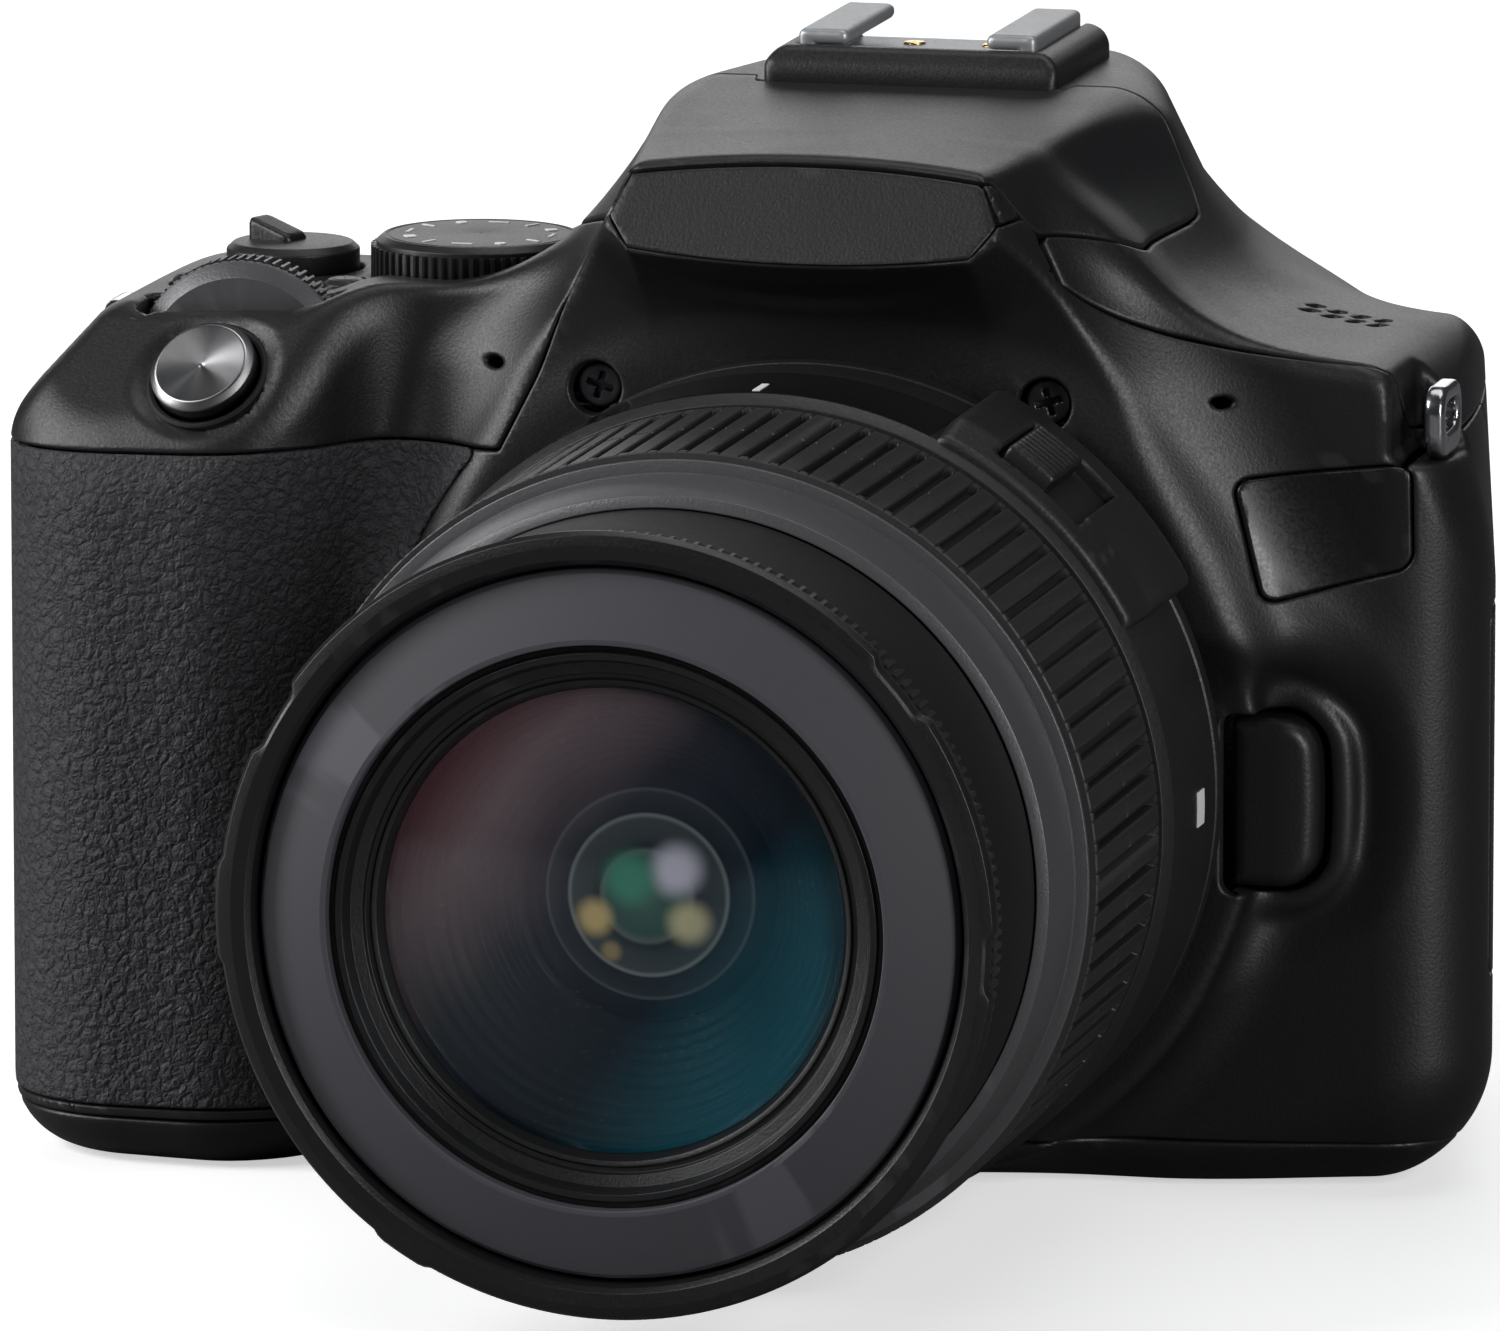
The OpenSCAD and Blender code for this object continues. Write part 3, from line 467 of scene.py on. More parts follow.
# ---------------------------------------------------------------- turned parts round the lens axis
def softened(profile, r, steps=4):
    """Rounds the corners of a closed [radius, distance] profile."""
    out = []
    n = len(profile)
    for i in range(n):
        p, a, b = (np.array(profile[k % n], float) for k in (i, i - 1, i + 1))
        u, w = a - p, b - p
        lu, lw = np.linalg.norm(u), np.linalg.norm(w)
        u, w = u / lu, w / lw
        cosine = float(np.clip(u @ w, -1, 1))
        half = math.acos(cosine) / 2
        if half > 1.5 or (p[0] < 1e-6):
            out.append(p)
            continue
        reach = min(r / math.tan(half), 0.45 * lu, 0.45 * lw)
        radius = reach * math.tan(half)
        centre = p + (u + w) / np.linalg.norm(u + w) * radius / math.sin(half)
        start, end = p + u * reach - centre, p + w * reach - centre
        a0, a1 = math.atan2(start[1], start[0]), math.atan2(end[1], end[0])
        turn = (a1 - a0 + math.pi) % (2 * math.pi) - math.pi
        for k in range(steps + 1):
            t = a0 + turn * k / steps
            out.append(centre + radius * np.array([math.cos(t), math.sin(t)]))
    return np.array(out)


def lathe(profile, segments, place):
    """Closed mesh from a closed profile of [radius, along]; place(radius, along, angle) gives the points."""
    profile = np.array(profile, float)
    n = len(profile)
    angle = np.linspace(0, 2 * math.pi, segments, endpoint=False)
    r, h = profile[:, 0][:, None] + 0 * angle, profile[:, 1][:, None] + 0 * angle
    points = place(r, h, angle[None, :] + 0 * r)
    v = np.stack(points, -1).reshape(-1, 3)
    i, j = np.meshgrid(np.arange(n), np.arange(segments), indexing="ij")
    i2, j2 = (i + 1) % n, (j + 1) % segments
    quads = np.stack([i * segments + j, i * segments + j2, i2 * segments + j2, i2 * segments + j], -1)
    return v, quads.reshape(-1, 4)


def lens_place(r, h, a):
    """Angle 0 is up and grows towards +X; h is the distance in front of the flange."""
    return r * np.sin(a), FLANGE_Y - h, AXIS_Z + r * np.cos(a)


def turned(name, profile, material, body, r=0.2, segments=192, place=lens_place):
    """A turned piece from a closed profile whose corners are rounded to r."""
    v, q = lathe(softened(profile, r), segments, place)
    add_quads(name, v, q, material, body, smooth=40)


def outward(v, q):
    """Turns the faces so that the closed mesh has a positive volume."""
    a, b, c, d = (v[q[:, k]] for k in range(4))
    volume = (np.cross(a, b) * c).sum() + (np.cross(a, c) * d).sum()
    return v, (q if volume > 0 else q[:, ::-1])


# ---------------------------------------------------------------- materials
def node(tree, kind, inputs=None, **settings):
    n = tree.nodes.new("ShaderNode" + kind)
    for key, value in settings.items():
        setattr(n, key, value)
    for key, value in (inputs or {}).items():
        if isinstance(value, bpy.types.NodeSocket):
            tree.links.new(value, n.inputs[key])
        else:
            n.inputs[key].default_value = value
    return n


def principled(name):
    m = bpy.data.materials.new(name)
    m.use_nodes = True
    tree = m.node_tree
    tree.nodes.clear()
    out = tree.nodes.new("ShaderNodeOutputMaterial")
    shader = tree.nodes.new("ShaderNodeBsdfPrincipled")
    tree.links.new(shader.outputs[0], out.inputs[0])
    return m, tree, shader


def vector(tree, operation, *inputs, scale=None):
    """A vector maths node; returns its vector, or its value where the operation gives one."""
    n = node(tree, "VectorMath", dict(enumerate(inputs)), operation=operation)
    if isinstance(scale, bpy.types.NodeSocket):
        tree.links.new(scale, n.inputs["Scale"])
    elif scale is not None:
        n.inputs["Scale"].default_value = scale
    return n.outputs["Value" if operation in ("DOT_PRODUCT", "LENGTH", "DISTANCE") else "Vector"]


def number(tree, operation, *inputs):
    return node(tree, "Math", dict(enumerate(inputs)), operation=operation).outputs[0]


def place_of(tree):
    return node(tree, "TexCoord").outputs["Object"]


def noise(tree, where, size_mm, detail=2.0):
    settings = {"Vector": where, "Scale": 1000.0 / size_mm, "Detail": detail}
    return node(tree, "TexNoise", settings).outputs["Fac"]


def ramp(tree, value, stops):
    r = node(tree, "ValToRGB", {"Fac": value})
    e = r.color_ramp.elements
    while len(e) < len(stops):
        e.new(0.5)
    for item, (at, colour) in zip(e, stops):
        item.position = at
        item.color = (*colour, 1)
    return r.outputs["Color"]


def remap(tree, value, low, high, a=0.0, b=1.0):
    return node(tree, "MapRange", {"Value": value, "From Min": a, "From Max": b, "To Min": low,
                                   "To Max": high}).outputs["Result"]


def mix(tree, fac, a, b):
    n = node(tree, "Mix", data_type="RGBA")
    for key, value in (("Factor", fac), ("A", a), ("B", b)):
        socket = [s for s in n.inputs if s.name == key and (s.type == "RGBA" or key == "Factor")][0]
        if isinstance(value, bpy.types.NodeSocket):
            tree.links.new(value, socket)
        else:
            socket.default_value = value if key == "Factor" else (*value, 1)
    return [s for s in n.outputs if s.type == "RGBA"][0]


def grained(name, colour, rough=0.45, grain=0.32, depth=0.012, metal=0.0, wear=0.35, specular=0.5):
    """Moulded plastic or paint: fine grain, patchy sheen and slightly polished edges."""
    m, t, s = principled(name)
    where = place_of(t)
    fine = noise(t, where, grain, 2.0)
    broad = noise(t, where, 7.0, 3.0)
    edges = node(t, "NewGeometry").outputs["Pointiness"]
    edge = remap(t, edges, 0.0, wear, 0.51, 0.6)
    light = tuple(min(1.0, c * 2.5 + 0.02) for c in colour)
    tone = mix(t, remap(t, broad, 0.0, 0.35), colour, tuple(c * 1.15 for c in colour))
    t.links.new(mix(t, edge, tone, light), s.inputs["Base Color"])
    shine = number(t, "ADD", remap(t, broad, rough - 0.012, rough + 0.018, 0.3, 0.7),
                   remap(t, fine, -0.05, 0.05, 0.3, 0.7))
    t.links.new(shine, s.inputs["Roughness"])
    s.inputs["Metallic"].default_value = metal
    s.inputs["Specular IOR Level"].default_value = specular
    b = node(t, "Bump", {"Height": fine, "Strength": 1.0, "Distance": depth * MM})
    t.links.new(b.outputs[0], s.inputs["Normal"])
    return m


def leather(name, colour):
    """Rubber moulded with a fine crackled leather grain, with painted shade darkening its creases."""
    m, t, s = principled(name)
    where = place_of(t)
    drift = node(t, "TexNoise", {"Vector": where, "Scale": 1100.0, "Detail": 2.0}).outputs["Color"]
    warped = vector(t, "ADD", where, vector(t, "SCALE", drift, scale=0.9 * MM))
    cells = {}
    for key, size in (("big", 1.35), ("small", 0.62)):
        cells[key] = node(t, "TexVoronoi", {"Vector": warped, "Scale": 1000 / size},
                          feature="DISTANCE_TO_EDGE").outputs["Distance"]
    crease = remap(t, cells["big"], 0.0, 1.0, 0.0, 0.28)
    fold = remap(t, cells["small"], 0.0, 1.0, 0.0, 0.3)
    pores = noise(t, where, 0.22, 2.0)
    height = number(t, "MULTIPLY", crease, 0.65)
    height = number(t, "MULTIPLY_ADD", fold, 0.35, height)
    height = number(t, "MULTIPLY_ADD", pores, 0.4, height)
    b = node(t, "Bump", {"Height": height, "Strength": 0.9, "Distance": 0.20 * MM})
    t.links.new(b.outputs[0], s.inputs["Normal"])
    # painted shade: the base colour is darker in the creases of the grain
    painted_crease_shade = tuple(c * 0.62 for c in colour)
    t.links.new(mix(t, crease, painted_crease_shade, colour), s.inputs["Base Color"])
    t.links.new(remap(t, pores, 0.52, 0.74), s.inputs["Roughness"])
    s.inputs["Specular IOR Level"].default_value = 0.4
    return m


def spun(name, colour, centre, axis, rough):
    """Metal turned on a lathe: fine rings about the axis and a sheen that runs round it, with a painted
    highlight: the colour is lighter in a wedge along one fixed direction and darker across it.
    """
    m, t, s = principled(name)
    where = place_of(t)
    local = vector(t, "SUBTRACT", where, tuple(c * MM for c in centre))
    along = vector(t, "DOT_PRODUCT", local, tuple(axis))
    flat = vector(t, "SUBTRACT", local, vector(t, "SCALE", tuple(axis), scale=along))
    turns = number(t, "MULTIPLY", vector(t, "LENGTH", flat), 9000.0)
    rings = node(t, "TexNoise", {"W": turns, "Scale": 1.0, "Detail": 3.0}, noise_dimensions="1D")
    rings = rings.outputs["Fac"]
    t.links.new(vector(t, "CROSS_PRODUCT", flat, tuple(axis)), s.inputs["Tangent"])
    # painted highlight: the base colour is lighter where the radius points along (0.80, 0.40, 0.45) and
    # darker across it
    across = vector(t, "DOT_PRODUCT", vector(t, "NORMALIZE", flat), (0.80, 0.40, 0.45))
    painted_highlight_wedge = number(t, "POWER", number(t, "ABSOLUTE", across), 3.0)
    tone = mix(t, painted_highlight_wedge, tuple(c * 0.28 for c in colour), tuple(c * 1.25 for c in colour))
    tone = mix(t, remap(t, rings, 0.0, 0.25), tone, tuple(c * 0.5 for c in colour))
    t.links.new(tone, s.inputs["Base Color"])
    t.links.new(remap(t, rings, rough, rough + 0.05), s.inputs["Roughness"])
    s.inputs["Metallic"].default_value = 1.0
    s.inputs["Anisotropic"].default_value = 0.85
    b = node(t, "Bump", {"Height": rings, "Strength": 0.02, "Distance": 0.001 * MM})
    t.links.new(b.outputs[0], s.inputs["Normal"])
    return m


def coated_glass(name, tilt, clear):
    """Multi-coated glass: mostly clear, with a painted reflection of the coating, red to teal, that changes
    across it.
    """
    m = bpy.data.materials.new(name)
    m.use_nodes = True
    t = m.node_tree
    t.nodes.clear()
    out = t.nodes.new("ShaderNodeOutputMaterial")
    where = place_of(t)
    across = vector(t, "DOT_PRODUCT", vector(t, "SUBTRACT", where, (0, 0, AXIS_Z * MM)), tilt)
    across = number(t, "MULTIPLY_ADD", noise(t, where, 22.0, 2.0), 0.012, across)
    u = remap(t, across, 0.0, 1.0, -0.013, 0.026)
    # painted reflection: the coating's coloured reflection is painted as a red to teal diffuse colour across
    # the glass
    painted_coating_reflection = ramp(t, u, [(0.0, (0.22, 0.07, 0.085)), (0.18, (0.24, 0.17, 0.19)), (0.38, (0.03, 0.032, 0.045)),
                       (0.6, (0.004, 0.012, 0.024)), (0.82, (0.0, 0.11, 0.16)), (1.0, (0.0, 0.20, 0.28))])
    diffuse = node(t, "BsdfDiffuse", {"Color": painted_coating_reflection})
    clear_part = node(t, "BsdfTransparent", {"Color": (0.93, 0.97, 0.96, 1)})
    body = node(t, "MixShader", {0: clear, 1: diffuse.outputs[0], 2: clear_part.outputs[0]})
    gloss = node(t, "BsdfGlossy", {"Color": (0.75, 0.85, 0.95, 1), "Roughness": 0.03})
    facing = node(t, "LayerWeight", {"Blend": 0.12}).outputs["Fresnel"]
    amount = remap(t, facing, 0.025, 0.5)
    mixed = node(t, "MixShader", {0: amount, 1: body.outputs[0], 2: gloss.outputs[0]})
    t.links.new(mixed.outputs[0], out.inputs[0])
    return m


PLASTIC = grained("cover_plastic", (0.0072, 0.0072, 0.0080), 0.42, 0.26, 0.024)
PLASTIC_LENS = grained("lens_plastic", (0.0055, 0.0055, 0.0062), 0.36, 0.24, 0.020)
CONE = grained("cone_plastic", (0.004, 0.004, 0.0044), 0.62, 0.26, 0.010, specular=0.3)
SPECKLED = grained("speckled_barrel", (0.010, 0.010, 0.011), 0.46, 0.42, 0.03)
RUBBER = leather("grip_rubber", (0.040, 0.0405, 0.045))
RIBBED = grained("ring_rubber", (0.012, 0.012, 0.013), 0.5, 0.24, 0.01, wear=0.6)
BAND = grained("satin_band", (0.10, 0.10, 0.105), 0.38, 0.22, 0.02, metal=0.5)
NAME_GREY = grained("name_ring", (0.047, 0.047, 0.055), 0.55, 0.25, 0.006)
GLOSS = grained("gloss_black", (0.004, 0.004, 0.0045), 0.12, 0.6, 0.0015, wear=0.2)
SATIN = grained("satin_black", (0.0045, 0.0045, 0.005), 0.3, 0.3, 0.004)
MATT = grained("matt_black", (0.004, 0.004, 0.004), 0.75, 0.3, 0.01)
SOFT_RUBBER = grained("soft_rubber", (0.010, 0.010, 0.011), 0.66, 0.35, 0.02)
SHOE = grained("shoe_metal", (0.30, 0.31, 0.32), 0.42, 0.35, 0.006, metal=0.55)
STEEL = grained("steel", (0.50, 0.50, 0.51), 0.3, 0.3, 0.004, metal=1.0)
CHROME = grained("chrome", (0.40, 0.40, 0.41), 0.18, 0.8, 0.002, metal=1.0)
SCREW = grained("dark_screw", (0.05, 0.05, 0.055), 0.35, 0.25, 0.004, metal=0.8)
PAINT = grained("white_paint", (0.70, 0.70, 0.69), 0.5, 0.2, 0.003)
BRASS = grained("contacts", (0.75, 0.52, 0.2), 0.22, 0.3, 0.003, metal=1.0)
BOARD = grained("board", (0.008, 0.07, 0.03), 0.4, 0.5, 0.01)
CELL = grained("battery_case", (0.03, 0.03, 0.034), 0.4, 0.4, 0.01)
CURTAIN = grained("curtain", (0.05, 0.05, 0.052), 0.35, 1.2, 0.01)
FROST = grained("frosted", (0.55, 0.56, 0.56), 0.45, 0.5, 0.02)
MIRROR = grained("mirror", (0.85, 0.86, 0.87), 0.04, 2.0, 0.0004, metal=1.0, wear=0.0)
SENSOR = grained("sensor", (0.03, 0.07, 0.06), 0.1, 0.2, 0.001, metal=0.4, wear=0.0)
WELL = grained("well_black", (0.022, 0.026, 0.030), 0.22, 0.5, 0.002, wear=0.1)
DEEP_GLASS = grained("deep_glass", (0.01, 0.035, 0.03), 0.06, 3.0, 0.0, wear=0.0)
BUTTON = spun("button_metal", (0.50, 0.50, 0.51), SHUTTER, SHUTTER_N, 0.3)
# both glasses carry a painted reflection of the coating, red to teal across them
GLASS = coated_glass("glass", (0.80, 0.0, -0.60), 0.74)
INNER_GLASS = coated_glass("inner_glass", (-0.7, 0.0, -0.7), 0.45)

# CAD nodes whose own shape is kept, with the finish of each
KEPT = {"chassis_frame": STEEL, "mount_ring": STEEL, "lens_contacts": BRASS, "mirror_box": MATT,
        "main_mirror": MIRROR, "sub_mirror": MIRROR, "focusing_screen": FROST, "pentamirror": MIRROR,
        "eyepiece_lens": INNER_GLASS, "shutter_frame": MATT, "shutter_curtain": CURTAIN,
        "image_sensor": SENSOR, "main_board": BOARD, "battery": CELL, "tripod_socket": STEEL,
        "aperture_unit": MATT, "rear_lens": INNER_GLASS, "lens_mount": MATT, "focus_sleeve": PLASTIC_LENS}


def finish_kept():
    for name, material in KEPT.items():
        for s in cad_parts[name].material_slots:
            s.material = material


# ---------------------------------------------------------------- body shells
def apron_zone(x, y, z):
    return np.maximum(np.maximum(np.abs(x) - hump_half(-26, z) - 0.4, y + 20.5), z - 81.4)


def flash_low(x, y):
    """Height of the seam under the flash head: level at the sides, up the corner, along the panel's top."""
    low = 77.3 + 2.4 * step(-y, 12, 24)
    return low + (brow_high(x) - low) * step(-y, 23.5, 28.6)


def flash_zone(x, y, z):
    low = flash_low(x, y)
    reach = 5.2 + 2.7 * step(np.abs(x), 13.0, 13.8)
    back = np.sqrt(np.maximum(y - PIVOT_Y, 0) ** 2 + (z - PIVOT_Z) ** 2) - reach
    back = np.where(y > PIVOT_Y, back, -3.0)
    return cut(low - z, back, 0.6)


def name_zone(x, y, z):
    side = np.abs(x) - 16.55 + 0.5 * np.maximum(z - 81, 0) + 0.85 * np.maximum(81 - z, 0)
    rows = np.maximum(brow_low(x) + 0.15 - z, z - brow_high(x) + 0.1)
    return np.maximum(np.maximum(rows, side * 0.85), y + 26.5)


def badge_zone(x, y, z):
    outline = polygon(x, z, [(36.7, 49.6), (48.4, 52.6), (48.2, 61.2), (33.8, 59.6)], 1.3)
    return np.maximum(outline, y + 8)


def grip_zone(x, y, z):
    d = cut(z - 59.9 - 0.02 * (x + 52), x + 28.6, 1.6)
    d = cut(d, 5.0 - z, 1.0)
    return cut(np.maximum(d, y - 5.6), 38.6 - lens_radius(x, z), 1.0)


def thumb_zone(x, y, z):
    rows = cut(24.0 - z, z - 56.0, 0.5)
    return cut(cut(rows, 17.0 - y, 3.5), x + 56.5, 3.0)


def door_zone(y0, y1):
    return lambda x, y, z: np.maximum(box2(y, z, (y0, 17.5), (y1, 48.5), 1.6), 40 - x)


def battery_zone(x, y, z):
    return np.maximum(box2(x, y, (-65.9, -23.8), (-47.4, 16.8), 1.0), z - 1.0)


def top_zone(x, y, z):
    left = 59.9 + 0.02 * (x + 52) + 2.6 * step(y, 0, 12) - z
    right = cut(-(0.7071 * (z - 66.3) + 0.7071 * (y + 15)), 62.5 - z, 2.0)
    return np.maximum(np.where(x < 0, left, right), -apron_zone(x, y, z))


def throat(x, y, z):
    return np.maximum(lens_radius(x, z) - 31.6, y + 8)


def hole_y(x0, z0, r, front=True, stretch=1.0):
    """A round hole along Y, in the front or the rear face."""
    def hole(x, y, z):
        d = np.sqrt(((x - x0) / stretch) ** 2 + (z - z0) ** 2) - r
        return np.maximum(d, y + 12 if front else 28 - y)
    return hole


def hole_z(x0, y0, r):
    return lambda x, y, z: np.maximum(np.sqrt((x - x0) ** 2 + (y - y0) ** 2) - r, 64 - z)


def release_hole(x, y, z):
    return np.maximum(release_outline(x, z) - 0.25, y + 12)


def button_hole(x, y, z):
    rho, h = on_button(x, y, z)
    return np.maximum(rho - 4.65, np.abs(h + 2.9) - 0.6)


def speaker(x, y, z):
    d = 9.0 + 0 * x
    for i in range(4):
        for j in range(2):
            u, v = x - 35.6 - 1.9 * i, y - 0.6 - 2.4 * j
            d = np.minimum(d, box2(u - 0.45 * v, v, (-0.28, -0.8), (0.28, 0.8), 0.2))
    return np.maximum(d, 64 - z)


REAR_KEYS = {"menu_button": "menu_key", "info_button": "info_key", "live_view_button": "live_view_key",
             "play_button": "play_key", "erase_button": "erase_key", "cross_keys": "cross_key"}


def seat(name):
    """Centre and radius of a round rear button. The menu button sits low, where the shoulder falls away."""
    c, (low, high) = middle(name), span(name)
    radius = (high[0] - low[0]) / 2 - 0.1
    return (c - (0, 0, 2.4), radius - 0.4) if name == "menu_button" else (c, radius)


def both(*zones):
    """A zone without the other zones given after it."""
    def zone(x, y, z):
        d = zones[0](x, y, z)
        for other in zones[1:]:
            d = np.maximum(d, -other(x, y, z))
        return d
    return zone


def body_shells():
    pitch = 0.55
    low = np.array([GRIP_X - 2, GRIP_Y - 2, -2.0])
    high = np.array([SIDE_X + 2, REAR_Y + 3, HUMP_Z + 3])
    v, f = skin(body_field, low, high, pitch)
    doors = [door_zone(-11.9, -0.1), door_zone(1.3, 9.7)]
    rear_holes = []
    for name in REAR_KEYS:
        c, radius = seat(name)
        rear_holes.append(hole_y(c[0], c[2], radius + 0.25, front=False))
    c = middle("dioptre_knob")
    rear_holes.append(hole_y(c[0], c[2], 3.5, front=False))
    tops = []
    for name in ("iso_button", "display_button"):
        c = middle(name)
        tops.append(hole_z(c[0], c[1], 2.05))
    screws = [hole_y(side * SCREW_X, SCREW_Z, 2.15) for side in (-1, 1)]
    mics = [hole_y(x, z, 0.42, stretch=1.7) for x, z in MICS]

    def base(x, y, z):
        return z - 4.0

    def ahead(x, y, z):
        return np.maximum(y - 6.0, 4.0 - z)

    def behind(x, y, z):
        return np.maximum(6.0 - y, 4.0 - z)

    front = both(ahead, top_zone, flash_zone, name_zone, badge_zone, grip_zone, throat, release_hole,
                 *doors, *screws, *mics)
    rear = both(behind, top_zone, flash_zone, thumb_zone, *doors, *rear_holes)
    top = both(top_zone, flash_zone, name_zone, button_hole, speaker, *tops, *rear_holes, *mics)
    bottom = both(base, battery_zone, throat)
    jobs = (("front_cover", front, 0.09, PLASTIC, "camera_body", "cover_plastic"),
            ("rear_cover", rear, 0.09, PLASTIC, "camera_body", "cover_plastic"),
            ("top_cover", top, 0.09, PLASTIC, "camera_body", "cover_plastic"),
            ("base_cover", bottom, 0.09, PLASTIC, "camera_body", "cover_plastic"),
            ("grip_rubber", grip_zone, 0.07, RUBBER, "camera_body", "grip_rubber"),
            ("thumb_rubber", both(thumb_zone, *rear_holes), 0.07, RUBBER, "camera_body", "grip_rubber"),
            ("name_panel", name_zone, 0.06, PLASTIC, "camera_body", "cover_plastic"),
            ("badge_plate", badge_zone, 0.07, SATIN, "camera_body", "gloss_black"),
            ("flash_head", both(flash_zone, name_zone), 0.11, PLASTIC, "flash", "cover_plastic"),
            ("terminal_door_front", doors[0], 0.12, PLASTIC, "terminal_door_front", "cover_plastic"),
            ("terminal_door_rear", doors[1], 0.12, PLASTIC, "terminal_door_rear", "cover_plastic"),
            ("battery_door", battery_zone, 0.12, PLASTIC, "battery_door", "cover_plastic"))
    for name, zone, gap, material, body, slot in jobs:
        sv, sf = shell(v, f, body_field, zone, gap)
        add(name, sv, sf, material, body)


# ---------------------------------------------------------------- the lens
def lens_parts():
    turned("lens_barrel", [(25, 2.2), (33.9, 2.2), (34.25, 2.6), (34.25, 4.3), (33.9, 4.5), (33.9, 5.0),
                           (34.25, 5.2), (34.25, 20.8), (33.5, 21.8), (30.2, 21.8), (30.2, 44), (29.4, 44),
                           (29.4, 20), (32, 20), (32, 4.4), (25, 4.4)],
           SPECKLED, "camera_body", r=0.15)
    turned("zoom_ring", [(30.5, 22.1), (32.2, 22.1), (33.0, 22.3), (33.0, 22.9), (32.4, 23.0), (32.4, 45.6),
                         (32.9, 45.7), (32.9, 46.2), (31.9, 46.35), (31.2, 46.6), (31.2, 46.9),
                         (31.9, 47.0), (30.9, 51.6), (29.9, 52), (29.9, 46), (30.5, 46)],
           BAND, "zoom_ring", r=0.12)
    zoom_rubber()
    turned("zoom_barrel", [(27.6, 22.5), (29.2, 22.5), (29.2, 52.3), (29.9, 52.3), (30.4, 66.6), (30.1, 67.2),
                           (28.4, 67.2), (28.4, 62), (27.6, 62)],
           CONE, "zoom_barrel", r=0.15)
    turned("focus_ring", [(24.2, 56), (25.8, 56), (25.8, 67.4), (29.9, 67.4), (29.9, 70.4), (30.9, 70.6),
                          (31.3, 71.0), (31.4, 71.9), (31.1, 72.4), (30.3, 72.6), (29.2, 72.45), (28.8, 72.0),
                          (28.6, 71.4), (28.6, 69.3), (24.2, 69.3)],
           PLASTIC_LENS, "focus_group", 0.12, 360, rim_place)
    knurl("focus_knurl", 30.75, 29.7, 67.5, 70.3, 190, 0.45, 0.5, PLASTIC_LENS, "focus_group")
    turned("name_ring", [(28.25, 69.4), (28.25, 70.9), (27.9, 71.3), (22.95, 72.95), (22.5, 72.95),
                         (22.4, 72.0), (24, 69.4)],
           NAME_GREY, "focus_group", r=0.1)
    turned("front_baffle", [(22.45, 69.4), (22.38, 72.0), (22.0, 72.1), (21.8, 72.45), (21.3, 72.45),
                            (21.1, 71.9), (20.9, 71.2), (20.0, 70.9), (19.9, 70.4), (19.55, 70.35),
                            (19.35, 70.55), (19.0, 70.4), (18.6, 69.3), (18.6, 66.2), (20.4, 66.2)],
           PLASTIC_LENS, "focus_group", r=0.08)
    glass_parts()


def rim_place(r, h, a):
    """The front rim: notches for a lens hood at 10, 2 and 3 o'clock, and two low tabs on the left."""
    degrees = np.degrees(a) % 360
    change = 0 * a
    for at, half, by in ((300, 5, -0.55), (50, 5, -0.55), (93, 4, -0.55), (270, 7, 0.3), (212, 4, 0.3)):
        change = change + by * step(half + 0.8 - np.abs(degrees - at), 0, 1.2)
    return lens_place(r + change * (r > 30.6), h, a)


def zoom_rubber():
    """Rubber grip: raised bars with a cut across them, and slots between."""
    count, outer, floor, inner = 84, 33.45, 32.65, 32.42
    edges = (0.0, 0.04, 0.1, 0.3, 0.5, 0.62, 0.68, 0.72, 0.76, 0.94)
    rows = np.array([22.95, 23.05, 24.0, 24.12, 33.4, 33.5, 33.9, 34.0, 44.7, 44.82, 45.45, 45.55])
    share = np.concatenate([i + np.array(edges) for i in range(count)]) / count
    angle = share * 2 * math.pi
    a, h = np.meshgrid(angle, rows, indexing="ij")
    phase = (a / (2 * math.pi) * count) % 1
    on_bar = phase < 0.7
    slot_row = (h > 24.05) & (h < 44.75)
    r = np.where(on_bar | ~slot_row, outer, floor)
    r = np.where(on_bar & (np.abs(phase - 0.34) > 0.32), r - 0.1, r)
    across = on_bar & (np.abs(phase - 0.34) < 0.3) & (h > 33.45) & (h < 33.95)
    r = np.where(across, outer - 0.4, r)
    r = np.where((h < 23) | (h > 45.5), outer - 0.12, r)
    n, m = len(angle), len(rows)
    v = np.stack(lens_place(r, h, a), -1).reshape(-1, 3)
    ring = np.stack(lens_place(np.full(n, inner), np.full(n, rows[0]), angle), -1)
    ring2 = np.stack(lens_place(np.full(n, inner), np.full(n, rows[-1]), angle), -1)
    v = np.concatenate([v, ring, ring2])
    i, j = np.meshgrid(np.arange(n), np.arange(m - 1), indexing="ij")
    i2 = (i + 1) % n
    q = [np.stack([i * m + j, i2 * m + j, i2 * m + j + 1, i * m + j + 1], -1).reshape(-1, 4)]
    i = np.arange(n)
    i2 = (i + 1) % n
    b, c = n * m, n * m + n
    q.append(np.stack([b + i, b + i2, i2 * m, i * m], -1))
    q.append(np.stack([i * m + m - 1, i2 * m + m - 1, c + i2, c + i], -1))
    q.append(np.stack([c + i, c + i2, b + i2, b + i], -1))
    add_quads("zoom_rubber", v, np.concatenate(q), RIBBED, "zoom_ring", 30)


